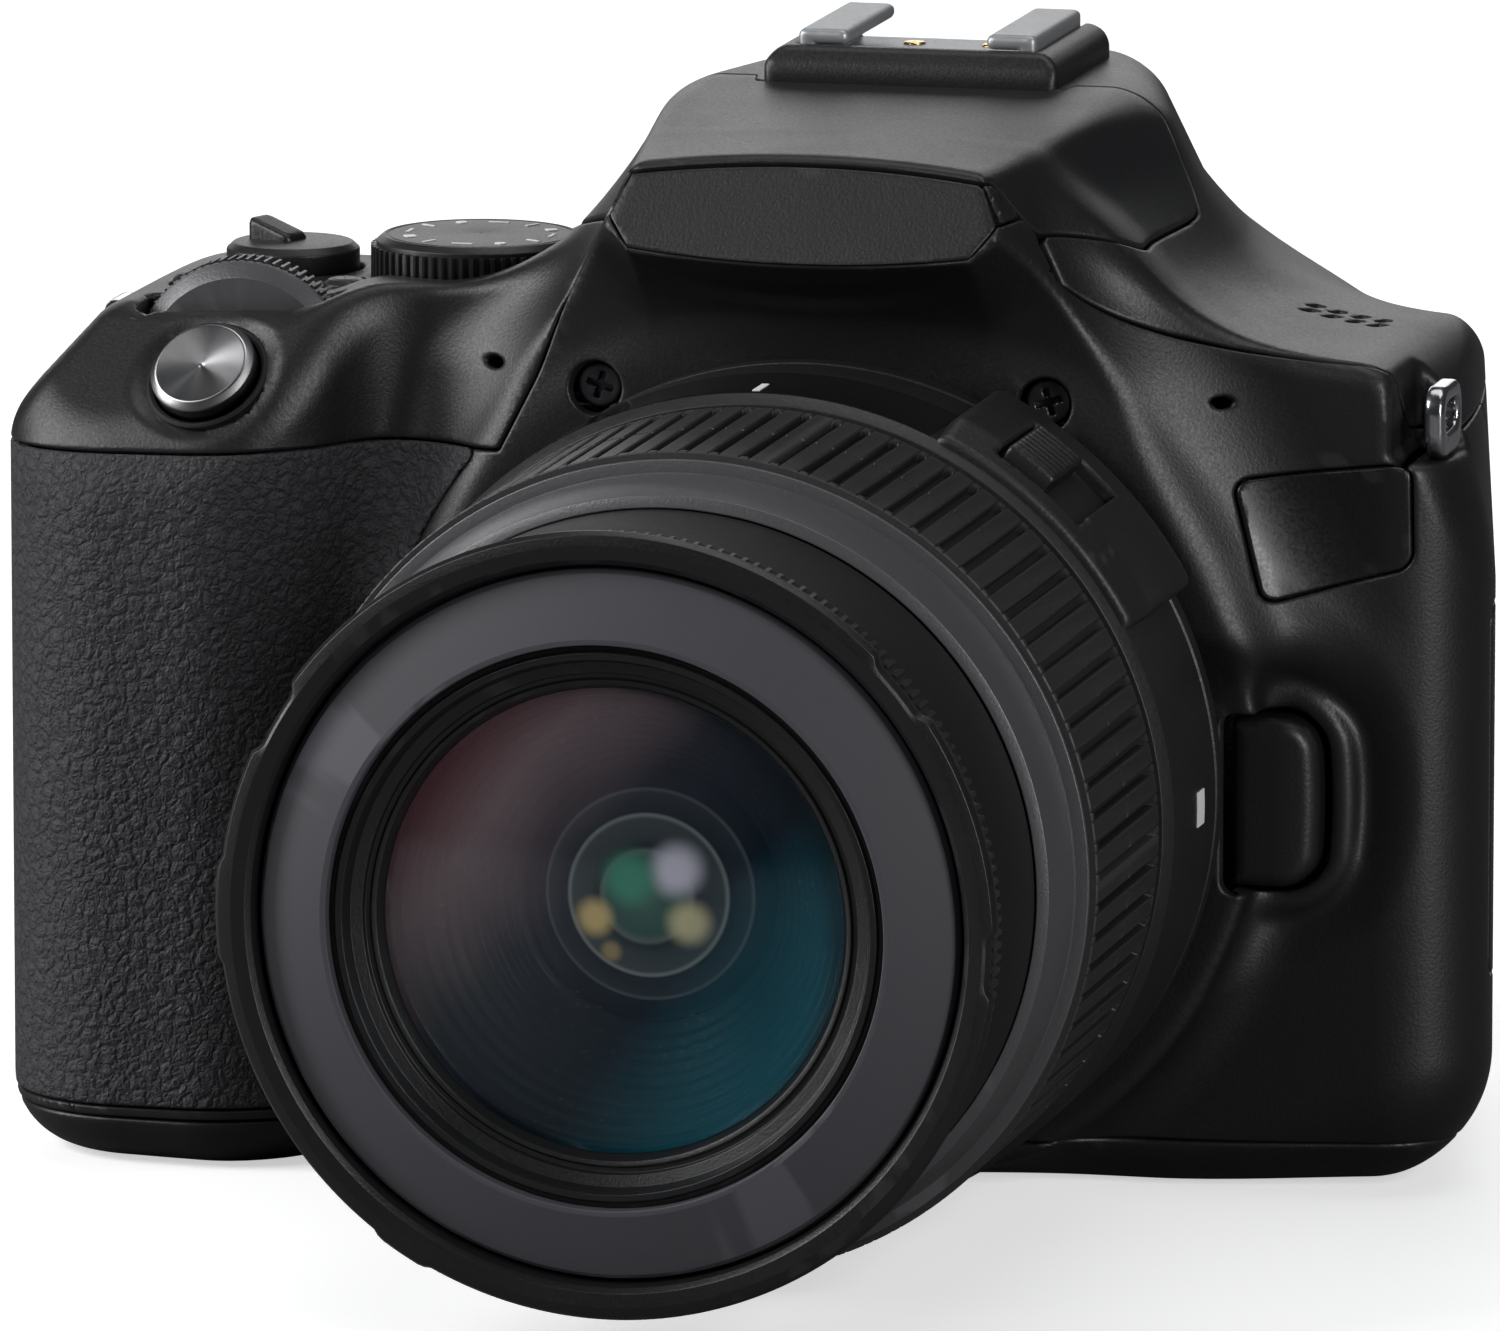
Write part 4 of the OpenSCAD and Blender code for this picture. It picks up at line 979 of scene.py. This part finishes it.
def knurl(name, outer, inner, h0, h1, count, depth, share, material, body, place=lens_place):
    """A ring of fine teeth along its axis; share is the part of each pitch that the tooth takes."""
    edges = np.array((0.0, 0.12, share - 0.06, share + 0.06, 0.88))
    angle = np.concatenate([i + edges for i in range(count)]) / count * 2 * math.pi
    high = np.tile(np.array((0.3, 1, 1, 0, 0), float), count)
    r = outer - depth * (1 - high)
    rows = [(inner, h0), (None, h0), (None, h1), (inner, h1)]
    n = len(angle)
    v, q = [], []
    for radius, h in rows:
        rr = r if radius is None else np.full(n, radius)
        v.append(np.stack(place(rr, np.full(n, h), angle), -1))
    for k in range(4):
        a, b = k * n + np.arange(n), k * n + (np.arange(n) + 1) % n
        c, d = ((k + 1) % 4) * n + (np.arange(n) + 1) % n, ((k + 1) % 4) * n + np.arange(n)
        q.append(np.stack([a, b, c, d], -1))
    add_quads(name, np.concatenate(v), np.concatenate(q), material, body, 30)


def dome(radius, edge_h, apex_h, count=24):
    """Half profile of a bulging spherical surface from its edge to the axis, [radius, distance]."""
    sag = apex_h - edge_h
    big = (radius * radius + sag * sag) / (2 * sag)
    half = math.asin(radius / big)
    turns = [half * (1 - k / count) for k in range(count + 1)]
    return [(big * math.sin(t), apex_h - (big - big * math.cos(t))) for t in turns]


def painted_ghost_glass(name):
    """The glass deep in the lens, with painted light: a green-grey disc, painted bright rings and painted
    soft reflections of the lamps, all made to glow a little.
    """
    m, t, s = principled(name)
    at = vector(t, "SUBTRACT", place_of(t), (0, 0, AXIS_Z * MM))
    at = vector(t, "MULTIPLY", at, (1 / MM, 0, 1 / MM))
    # the bright bands in this ramp are painted ring reflections
    colour = ramp(t, remap(t, vector(t, "LENGTH", at), 0.0, 1.0, 0.0, 10.25), [
        (0.0, (0.06, 0.13, 0.10)), (0.30, (0.035, 0.08, 0.065)), (0.36, (0.10, 0.12, 0.11)),
        (0.39, (0.012, 0.016, 0.016)), (0.46, (0.035, 0.042, 0.042)), (0.60, (0.05, 0.055, 0.056)),
        (0.63, (0.20, 0.21, 0.21)), (0.65, (0.01, 0.012, 0.013)), (0.80, (0.02, 0.024, 0.026)),
        (0.82, (0.08, 0.085, 0.09)), (0.84, (0.006, 0.008, 0.009)), (1.0, (0.003, 0.004, 0.005))])
    # painted reflections of the lamps: soft amber, pale, violet and green spots
    for x, z, size, tone in ((-4.3, -1.9, 2.1, (0.75, 0.52, 0.22)), (3.4, -2.0, 2.4, (0.70, 0.60, 0.36)),
                             (2.4, 2.2, 2.9, (0.78, 0.70, 0.86)), (-1.4, 1.4, 3.0, (0.06, 0.30, 0.20)),
                             (-3.0, -4.6, 1.2, (0.35, 0.25, 0.12))):
        off = vector(t, "DISTANCE", at, (x, 0, z))
        painted_spot = node(t, "MapRange", {"Value": off, "From Min": size, "From Max": 0.25 * size, "To Min": 0.0,
                                    "To Max": 0.85}, interpolation_type="SMOOTHSTEP").outputs["Result"]
        colour = mix(t, painted_spot, colour, tone)
    t.links.new(colour, s.inputs["Base Color"])
    # the painted colour also glows, though the glass is no lamp
    t.links.new(colour, s.inputs["Emission Color"])
    s.inputs["Emission Strength"].default_value = 0.55
    t.links.new(remap(t, noise(t, place_of(t), 2.0), 0.03, 0.12), s.inputs["Roughness"])
    return m


def lens(name, profile, segments, material, smooth=35):
    """A piece of glass, turned from a closed profile without softening its corners."""
    v, q = lathe(np.array(profile), segments, lens_place)
    add_quads(name, v, q, material, "focus_group", smooth)


def glass_parts():
    front, back = dome(18.55, 69.35, 71.9), dome(18.3, 68.4, 70.6)
    lens("front_lens", front[:-1] + [(0.01, 71.9), (0.01, 70.6)] + back[::-1][1:], 128, GLASS, 40)
    # stepped well behind the front glass: from radius 18 at its mouth to 10.6 at its foot
    steps = 9
    ledges = [(18.0 - (18.0 - 10.6) * k / steps, 68.0 - (68.0 - 58.2) * k / steps) for k in range(steps + 1)]
    wall = [(19.2, 68.3), (18.3, 68.3)]
    for (r0, h0), (r1, h1) in zip(ledges, ledges[1:]):
        wall += [(r0, h0), (r0 - 0.25, h1 + 0.35), (r1 + 0.1, h1 + 0.2)]
    wall += [(10.3, 58.0), (10.3, 55.5), (19.2, 55.5)]
    turned("lens_well", wall, WELL, "focus_group", r=0.06, segments=128)
    # the second lens carries painted ring and lamp reflections, and glows
    lens("second_lens", dome(10.25, 57.0, 59.0, 16)[:-1] + [(0.01, 59.0), (0.01, 56.6), (10.25, 56.6)], 96,
         painted_ghost_glass("deep_glass_painted_reflections"))
    turned("inner_stop", [(10.2, 56.4), (6.6, 55.9), (6.4, 55.6), (6.4, 54.4), (10.2, 54.4)],
           NAME_GREY, "focus_group", r=0.08, segments=96)
    lens("third_lens", dome(6.35, 54.9, 56.4, 12)[:-1] + [(0.01, 56.4), (0.01, 54.5), (6.35, 54.5)], 96,
         DEEP_GLASS)


# ---------------------------------------------------------------- small parts of the body
def about(centre, axis):
    """Gives place(radius, height, angle) round any axis."""
    axis = np.array(axis, float) / np.linalg.norm(axis)
    up = np.array((0.0, 0.0, 1.0)) if abs(axis[2]) < 0.9 else np.array((0.0, 1.0, 0.0))
    side = np.cross(up, axis)
    side /= np.linalg.norm(side)
    up = np.cross(axis, side)

    def place(r, h, a):
        c, s = r * np.cos(a), r * np.sin(a)
        return tuple(centre[k] + h * axis[k] + c * up[k] + s * side[k] for k in range(3))
    return place


def along_y(centre):
    return about((centre[0], 0, centre[2]), (0, 1, 0))


def along_z(centre):
    return about((centre[0], centre[1], 0), (0, 0, 1))


def disc(name, place, radius, low, high, material, body, edge, dish, r, segments):
    """A round button: flat or dished top with a rolled edge."""
    profile = [(0.01, low), (radius, low), (radius, high - edge), (radius - edge, high),
               (radius * 0.55, high - dish * 0.7), (0.01, high - dish)]
    turned(name, profile, material, body, r, segments, place)


def top_controls():
    on_slope = about(SHUTTER, SHUTTER_N)
    turned("shutter_button", [(0.01, -2.4), (3.9, -2.4), (3.9, -1.3), (4.5, -1.1), (4.5, 0.75), (3.9, 1.3),
                              (2.9, 1.15), (0.01, 0.95)],
           BUTTON, "shutter_key", 0.3, 128, on_slope)
    turned("shutter_well", [(4.62, -2.8), (5.3, -2.8), (5.3, -0.5), (5.0, -0.3), (4.7, -0.5)],
           CONE, "camera_body", 0.12, 128, on_slope)
    wheel = about(DIAL, (0, -1, 0))
    knurl("main_dial", 9.6, 6.0, -1.9, 0.7, 78, 0.4, 0.46, PLASTIC_LENS, "main_dial", wheel)
    turned("main_dial_core", [(0.01, -2.1), (8.6, -2.1), (9.05, -1.8), (9.05, 0.6), (9.5, 0.75), (9.4, 1.1),
                              (8.2, 2.1), (0.01, 2.1)],
           BAND, "main_dial", segments=96, place=wheel)
    ring = along_z(MODE)
    knurl("mode_dial", 9.15, 7.0, 70.9, 74.6, 64, 0.42, 0.5, PLASTIC_LENS, "mode_dial", ring)
    turned("mode_dial_core", [(0.01, 65.4), (3.0, 65.4), (3.0, 70.7), (8.7, 70.7), (8.7, 74.9), (8.1, 75.4),
                              (7.9, 75.4), (7.75, 75.25), (7.6, 75.4), (0.01, 75.4)],
           PLASTIC, "mode_dial", 0.15, 128, ring)
    dial_marks()
    turned("power_switch", [(0.01, -4.5), (3.4, -4.5), (3.4, -0.9), (5.6, -0.9), (5.6, 1.6), (5.0, 2.15),
                            (0.01, 2.3)],
           PLASTIC, "power_switch", 0.3, 96, about(POWER, (0, 0, 1)))

    def lever(x, y, z):
        across = (x - POWER[0]) * 0.36 + (y - POWER[1]) * 0.93
        along = -(x - POWER[0]) * 0.93 + (y - POWER[1]) * 0.36
        body = cut(np.abs(across) - 1.5, np.abs(along - 1.6) - 2.2, 0.7)
        slant = 0.95 * (z - POWER[2] - 2.9) - 0.30 * along
        return cut(body, np.maximum(slant, POWER[2] + 1.5 - z), 0.5)
    solid("power_lever", lever, POWER + (-7, -7, 0), POWER + (7, 7, 6), 0.28, PLASTIC_LENS, "power_switch")
    for name, body in (("iso_button", "iso_key"), ("display_button", "display_key")):
        disc(name, along_z(middle(name)), 1.8, 66.0, 71.55, PLASTIC, body,
             edge=0.4, dish=-0.15, r=0.2, segments=48)


def dial_marks():
    """Plain marks round the top of the mode dial: bars, squares and dots, with no letters."""
    count, top = 12, 75.46
    for i in range(count):
        a = 2 * math.pi * i / count
        c = (MODE[0] + 6.1 * math.sin(a), MODE[1] - 6.1 * math.cos(a))
        half = ((0.9, 0.16), (0.5, 0.5), (0.16, 0.75))[i % 3]
        corner = min(half) * (0.98 if i % 3 == 1 and i % 2 else 0.3)

        def mark(x, y, z, a=a, c=c, half=half, corner=corner):
            u = (x - c[0]) * math.cos(a) + (y - c[1]) * math.sin(a)
            v = -(x - c[0]) * math.sin(a) + (y - c[1]) * math.cos(a)
            return np.maximum(box2(u, v, (-half[0], -half[1]), half, corner), np.abs(z - top + 0.06) - 0.08)
        solid("mode_mark_%02d" % i, mark, (c[0] - 1.3, c[1] - 1.3, top - 0.3),
              (c[0] + 1.3, c[1] + 1.3, top + 0.2), 0.09, PAINT, "mode_dial", relax=0)


def front_parts():
    def release(x, y, z):
        lean = 0.10 * np.maximum(x - RELEASE_X, 0)
        d = cut(release_outline(x, z) + 0.2, -21.6 - y + lean * (x - RELEASE_X) * 0.35, 1.3)
        return np.maximum(d, y + 15.0)
    solid("lens_release", release, (32, -23, 24), (43, -14, 42), 0.3, PLASTIC, "release_key")
    turned("lock_pin", [(0.01, 15.5), (1.4, 15.5), (1.4, 24.6), (1.0, 25.1), (0.01, 25.1)],
           STEEL, "release_key", segments=48, place=about((28.9, 0, AXIS_Z), (0, -1, 0)))
    for side in (-1, 1):
        def screw(x, y, z, side=side):
            u, w = x - side * SCREW_X, z - SCREW_Z
            head = cut(np.sqrt(u * u + w * w) - 1.95, -23.35 - y + 0 * x, 0.4)
            turn = 0.3 * side
            a = np.abs(u * math.cos(turn) + w * math.sin(turn))
            b = np.abs(w * math.cos(turn) - u * math.sin(turn))
            cross = np.maximum(np.minimum(a, b) - 0.27, np.maximum(a, b) - 1.15)
            return np.maximum(carve(head, np.maximum(cross, y + 22.5), 0.08), y + 21.0)
        solid("apron_screw_%s" % ("left" if side < 0 else "right"), screw,
              (side * SCREW_X - 2.4, -24, SCREW_Z - 2.5), (side * SCREW_X + 2.4, -20.7, SCREW_Z + 2.5), 0.12,
              SCREW, "camera_body", "body_screws" if side > 0 else None)
    for label, at in (("right", np.array((49.6, -13.0, 64.2))), ("left", np.array((-67.4, 4.5, 64.4)))):
        def lug(x, y, z, at=at):
            u, v, w = x - at[0], y - at[1], z - at[2]
            plate = box2(v, w, (-4.0, -3.1), (4.0, 2.9), 2.2)
            plate = cut(plate, np.abs(u) - 0.85, 0.5)
            return carve(plate, box2(v, w, (-2.7, -1.0), (2.7, 1.5), 1.2), 0.4)
        solid("strap_lug_" + label, lug, at + (-1.6, -4.8, -3.8), at + (1.6, 4.8, 3.6), 0.22,
              CHROME, "camera_body", "strap_lugs" if label == "right" else None)

    def shoe(x, y, z):
        wide = np.abs(x)
        d = box(wide, y, z, (-1, 9.8, 87.7), (10.2, 27.2, 88.3), 0.1)
        d = np.minimum(d, box(wide, y, z, (8.7, 9.8, 87.7), (10.2, 27.2, 91.2), 0.55))
        return np.minimum(d, box(wide, y, z, (5.9, 9.8, 89.9), (10.2, 27.2, 91.2), 0.6))
    solid("hot_shoe", shoe, (-11.2, 9, 87), (11.2, 28, 92), 0.26, SHOE, "camera_body")

    def shoe_base(x, y, z):
        slant = 0.7071 * (z - 90.0) + 0.7071 * (np.abs(x) - 11.4)
        d = cut(box(x, y, z, (-12.6, 7.0, 84.5), (12.6, 28.0, 90.0), 0.9), slant, 0.5)
        d = cut(d, 0.6 * (z - 90.0) - 0.8 * (y - 8.3), 0.5)
        return carve(d, box(x, y, z, (-10.35, 9.6, 87.5), (10.35, 40, 95), 0.4), 0.25)
    solid("shoe_base", shoe_base, (-13.6, 6, 83.8), (13.6, 29, 91), 0.32, PLASTIC, "camera_body")
    for k, at in enumerate(((0, 19), (-3.4, 23.5), (3.4, 23.5), (-3.4, 14.5))):
        disc("shoe_contact_%d" % k, along_z(at), 0.95, 88.0, 88.5, BRASS, "camera_body",
             edge=0.12, dish=0.0, r=0.08, segments=32)


# ---------------------------------------------------------------- marks and the switch on the lens
def curved(name, angle0, angle1, h0, h1, low, high, material, body, steps=8):
    """A thin patch that follows the lens's roundness, between two angles in degrees."""
    a = np.radians(np.linspace(angle0, angle1, steps + 1))
    rows = [(low, h0), (high, h0), (high, h1), (low, h1)]
    n = len(a)
    v = np.concatenate([np.stack(lens_place(np.full(n, r), np.full(n, h), a), -1) for r, h in rows])
    q = []
    for k in range(4):
        for i in range(n - 1):
            q.append((k * n + i, k * n + i + 1, ((k + 1) % 4) * n + i + 1, ((k + 1) % 4) * n + i))
    q += [(0, n, 2 * n, 3 * n), (4 * n - 1, 3 * n - 1, 2 * n - 1, n - 1)]
    add_quads(name, v, np.array(q), material, body)


def polar(x, y, z):
    """Radius, degrees from the top towards +X, and distance in front of the flange."""
    return lens_radius(x, z), np.degrees(np.arctan2(x, z - AXIS_Z)), FLANGE_Y - y


def lens_marks():
    def pad(x, y, z):
        r, a, h = polar(x, y, z)
        ends = (np.abs(a - 43.5) - 18.5) * r * DEGREE
        top = r - 36.1 + 0.35 * np.maximum(h - 17.5, 0)
        d = cut(cut(top, ends, 1.1), np.maximum(2.9 - h, h - 21.0), 0.4)
        recess = np.maximum(np.abs((a - SWITCH_ANGLE) * r * DEGREE - 1.7) - 4.4, np.abs(h - SWITCH_H) - 6.2)
        d = carve(d, np.maximum(recess, 34.75 - r), 0.3)
        return np.maximum(d, 33.4 - r)
    solid("af_pad", pad, (11, -46, 48), (36, -26, 71.6), 0.34, SPECKLED, "camera_body")

    def switch(x, y, z):
        r, a, h = polar(x, y, z)
        ribs = 0.16 * np.cos(h * 2 * math.pi / 1.25)
        d = cut(np.abs((a - SWITCH_ANGLE) * r * DEGREE) - 2.3, r - 36.45 + ribs, 0.35)
        return np.maximum(cut(d, np.abs(h - SWITCH_H) - 5.6, 0.4), 33.8 - r)
    solid("af_switch", switch, (17, -43, 58), (25.5, -30.5, 66.5), 0.2, PLASTIC_LENS, "af_switch")
    curved("scale_band", -50, 24, 10.5, 20.6, 34.1, 34.33, GLOSS, "camera_body", steps=48)
    curved("index_tick", -1.6, -0.6, 16.6, 20.0, 34.2, 34.38, PAINT, "camera_body")
    curved("mount_index", 87.6, 92.4, 9.8, 12.2, 34.1, 34.35, PAINT, "camera_body")


# ---------------------------------------------------------------- under the raised flash
def flash_parts():
    def floor(x, y, z):
        inside = np.maximum(np.abs(x) - hump_half(y, z) + 2.2, np.maximum(brow(x, y, z) + 1.6, y - 1.0))
        return cut(np.maximum(inside, 74.0 - z), (z - flash_low(x, y) + 0.7) * 0.8, 0.5)
    solid("flash_bay", floor, (-25, -32, 73), (25, 2, 86), 0.5, PLASTIC_LENS, "camera_body")

    def lamp(x, y, z):
        d = box(x, y, z, (-12.5, -24.4, 80.7), (12.5, -6.0, 84.2), 0.6)
        return carve(d, box(x, y, z, (-11.4, -34, 81.3), (11.4, -23.0, 83.6), 0.4), 0.3)
    solid("flash_lamp", lamp, (-14, -26, 80), (14, -5, 85), 0.4, GLOSS, "flash")

    def window(x, y, z):
        ribs = 0.12 * np.cos(x * 2 * math.pi / 1.5)
        return box(x, y + ribs, z, (-11.3, -23.7, 81.4), (11.3, -22.9, 83.5), 0.2)
    solid("flash_window", window, (-12.5, -24.8, 81), (12.5, -22.2, 84.0), 0.26, FROST, "flash")

    def arms(x, y, z):
        return box(np.abs(x), y, z, (13.3, -12.0, 80.4), (14.7, 2.0, 83.4), 0.5)
    solid("flash_arms", arms, (-20, -13, 79.4), (20, 3, 85.2), 0.36, STEEL, "flash")


# ---------------------------------------------------------------- the back
def rear_button(name, body):
    c, radius = seat(name)
    low, high = span(name)
    disc(name, along_y(c), radius, low[1], high[1] - 0.1, PLASTIC, body,
         edge=0.5, dish=-0.25, r=0.25, segments=64)


def screen():
    low, high = span("screen_panel")
    c = (low + high) / 2

    def panel(x, y, z):
        outline = box2(x, z, (low[0], low[2]), (high[0], high[2]), 3.0)
        d = cut(outline, np.abs(y - c[1]) - (high[1] - low[1]) / 2, 1.0)
        glass = box2(x, z, (low[0] + 4.4, low[2] + 3.4), (high[0] - 4.4, high[2] - 3.4), 1.0)
        d = carve(d, np.maximum(glass, high[1] - 0.5 - y), 0.2)
        notch = np.maximum(np.maximum(high[0] - 1.6 - x, np.abs(z - 33) - 9.0), 30 - y)
        return carve(d, notch, 0.3)
    solid("screen_panel", panel, low - 1, high + 1, 0.42, PLASTIC, "screen")

    def glass(x, y, z):
        d = box2(x, z, (low[0] + 4.55, low[2] + 3.55), (high[0] - 4.55, high[2] - 3.55), 0.9)
        return cut(d, np.abs(y - high[1] + 0.5) - 0.35, 0.15)
    solid("screen_glass", glass, (low[0] + 3, high[1] - 1.6, low[2] + 2),
          (high[0] - 3, high[1] + 0.4, high[2] - 2), 0.42, GLOSS, "screen")
    lo, hi = span("screen_hinge")

    def hinge(x, y, z):
        knuckle = np.sqrt((x - HINGE[0]) ** 2 + (y - HINGE[1]) ** 2) - 2.5
        d = join(knuckle, box(x, y, z, (lo[0] + 0.1, 31.9, -99), (HINGE[0], 36.9, 199), 0.4), 0.6)
        along = np.abs(z - (lo[2] + hi[2]) / 2)
        groove = np.maximum(np.abs(along - 4.6) - 0.15, 0.25 - knuckle - 0.5)
        return carve(cut(d, along - (hi[2] - lo[2]) / 2, 0.4), groove, 0.1)
    solid("screen_hinge", hinge, lo - 1, hi + 1, 0.3, PLASTIC, "screen")


def eyepiece():
    c = middle("dioptre_knob")

    def cup(x, y, z):
        bulge = 1.0 * step(y, 37, 41)
        d = cut(box2(x, z, (-16.0 - bulge, 61.4 - bulge * 0.6), (16.0 + bulge, 78.8 + bulge * 0.6), 4.2),
                np.abs(y - 38.5) - 2.45, 1.3)
        opening = box2(x, z, (-10.4 - 0.25 * (y - 36), 64.4), (10.4 + 0.25 * (y - 36), 75.8), 1.6)
        d = carve(d, np.sqrt((x - c[0]) ** 2 + (z - c[2]) ** 2) - 3.75, 0.4)
        return carve(d, opening, 0.7)
    solid("eyecup", cup, (-18.5, 35.4, 59.6), (18.5, 41.8, 80.6), 0.42, SOFT_RUBBER, "camera_body")

    def frame_place(r, h, a):
        """A rounded rectangle round the eyepiece window."""
        u, w = (np.sign(v) * np.abs(v) ** 0.35 for v in (np.cos(a), np.sin(a)))
        return 9.9 * r * u, 33.8 + h, 70.0 + 6.2 * r * w
    turned("eyepiece_frame", [(0.7, 0), (1.0, 0), (1.0, 1.0), (0.7, 1.0)],
           MATT, "camera_body", 0.02, 64, frame_place)
    ring = along_y(c)
    knurl("dioptre_knob", 3.25, 2.1, 33.0, 37.4, 30, 0.3, 0.5, PLASTIC, "dioptre_knob", ring)
    turned("dioptre_core", [(0.01, 32.4), (2.85, 32.4), (2.95, 37.3), (2.6, 37.8), (0.01, 37.8)],
           PLASTIC, "dioptre_knob", segments=64, place=ring)


def rear_keys():
    for name, body in {**REAR_KEYS, "set_button": "set_key"}.items():
        if name != "cross_keys":
            rear_button(name, body)
    c, (lo, hi) = middle("cross_keys"), span("cross_keys")
    turned("cross_keys", [(3.7, lo[1]), (9.15, lo[1]), (9.15, hi[1] - 0.9), (8.5, hi[1] - 0.15),
                          (7.6, hi[1] - 0.25), (4.3, hi[1] - 0.7), (3.7, hi[1] - 1.0)],
           PLASTIC, "cross_key", 0.25, 128, along_y(c))
    for k in range(4):
        a = k * math.pi / 2
        u, w = 6.6 * math.sin(a), 6.6 * math.cos(a)

        def mark(x, y, z, a=a, u=u, w=w):
            p = (x - c[0] - u) * math.cos(a) - (z - c[2] - w) * math.sin(a)
            q = (x - c[0] - u) * math.sin(a) + (z - c[2] - w) * math.cos(a)
            arrow = polygon(p, q, [(-0.8, -0.4), (0.8, -0.4), (0, 0.8)])
            return np.maximum(arrow, np.abs(y - hi[1] + 0.35) - 0.16)
        at = np.array((c[0] + u, hi[1], c[2] + w))
        solid("cross_mark_%d" % k, mark, at - (1.4, 0.7, 1.4), at + (1.4, 0.1, 1.4), 0.12, PAINT,
              "cross_key", relax=0)


# ---------------------------------------------------------------- camera, floor and light
def stage():
    azimuth, elevation, distance = math.radians(13.77), math.radians(10.05), 1.45
    target = Vector((-0.01192, 0.0, 0.03875))
    back = Vector((math.sin(azimuth) * math.cos(elevation), -math.cos(azimuth) * math.cos(elevation),
                   math.sin(elevation)))
    data = bpy.data.cameras.new("photo_camera")
    data.sensor_width, data.lens = 36.0, 416.3
    data.clip_start, data.clip_end = 0.05, 20
    cam = bpy.data.objects.new("photo_camera", data)
    bpy.context.scene.collection.objects.link(cam)
    cam.location = target + back * distance
    cam.rotation_mode = "QUATERNION"
    cam.rotation_quaternion = (-back).to_track_quat("-Z", "Y")
    bpy.context.scene.camera = cam

    mesh = bpy.data.meshes.new("floor")
    s = 4.0
    mesh.from_pydata([(x, y, -0.0002) for x, y in ((-s, -s), (s, -s), (s, s), (-s, s))], [], [(0, 1, 2, 3)])
    floor = bpy.data.objects.new("floor", mesh)
    bpy.context.scene.collection.objects.link(floor)
    m, t, shader = principled("pale_floor")
    seen = node(t, "LightPath").outputs["Is Camera Ray"]
    t.links.new(mix(t, seen, (0.16, 0.16, 0.165), (0.86, 0.86, 0.86)), shader.inputs["Base Color"])
    t.links.new(mix(t, seen, (0, 0, 0), (0.55, 0.55, 0.55)), shader.inputs["Emission Color"])
    shader.inputs["Emission Strength"].default_value = 1.0
    shader.inputs["Roughness"].default_value = 0.7
    mesh.materials.append(m)

    world = bpy.data.worlds.new("studio")
    bpy.context.scene.world = world
    bpy.context.scene.view_settings.view_transform = "Standard"
    world.use_nodes = True
    t = world.node_tree
    t.nodes.clear()
    out = t.nodes.new("ShaderNodeOutputWorld")
    seen = node(t, "LightPath").outputs["Is Camera Ray"]
    dim = node(t, "Background", {"Color": (0.9, 0.95, 1.0, 1), "Strength": 0.05})
    pale = node(t, "Background", {"Color": (1, 1, 1, 1), "Strength": 1.0})
    both_ways = node(t, "MixShader", {0: seen, 1: dim.outputs[0], 2: pale.outputs[0]})
    t.links.new(both_ways.outputs[0], out.inputs[0])

    def softbox(name, at, size, power):
        light = bpy.data.lights.new(name, "AREA")
        light.shape = "RECTANGLE"
        light.size, light.size_y = size
        light.energy = power
        o = bpy.data.objects.new(name, light)
        bpy.context.scene.collection.objects.link(o)
        o.location = at
        o.rotation_mode = "QUATERNION"
        o.rotation_quaternion = (Vector((0, 0, 0.045)) - Vector(at)).to_track_quat("-Z", "Y")

    softbox("key", (-0.75, -0.72, 0.80), (0.5, 0.5), 5.5)
    softbox("top", (0.1, 0.15, 1.0), (0.9, 0.5), 2.4)
    softbox("right_strip", (0.75, -0.65, 0.35), (0.16, 0.7), 5.4)
    softbox("left_strip", (-0.9, -0.3, 0.35), (0.25, 0.8), 7)
    softbox("back", (-0.35, 1.1, 0.42), (1.0, 0.5), 2.4)


body_shells()
lens_parts()
top_controls()
front_parts()
lens_marks()
flash_parts()
screen()
eyepiece()
rear_keys()
finish_kept()
stage()
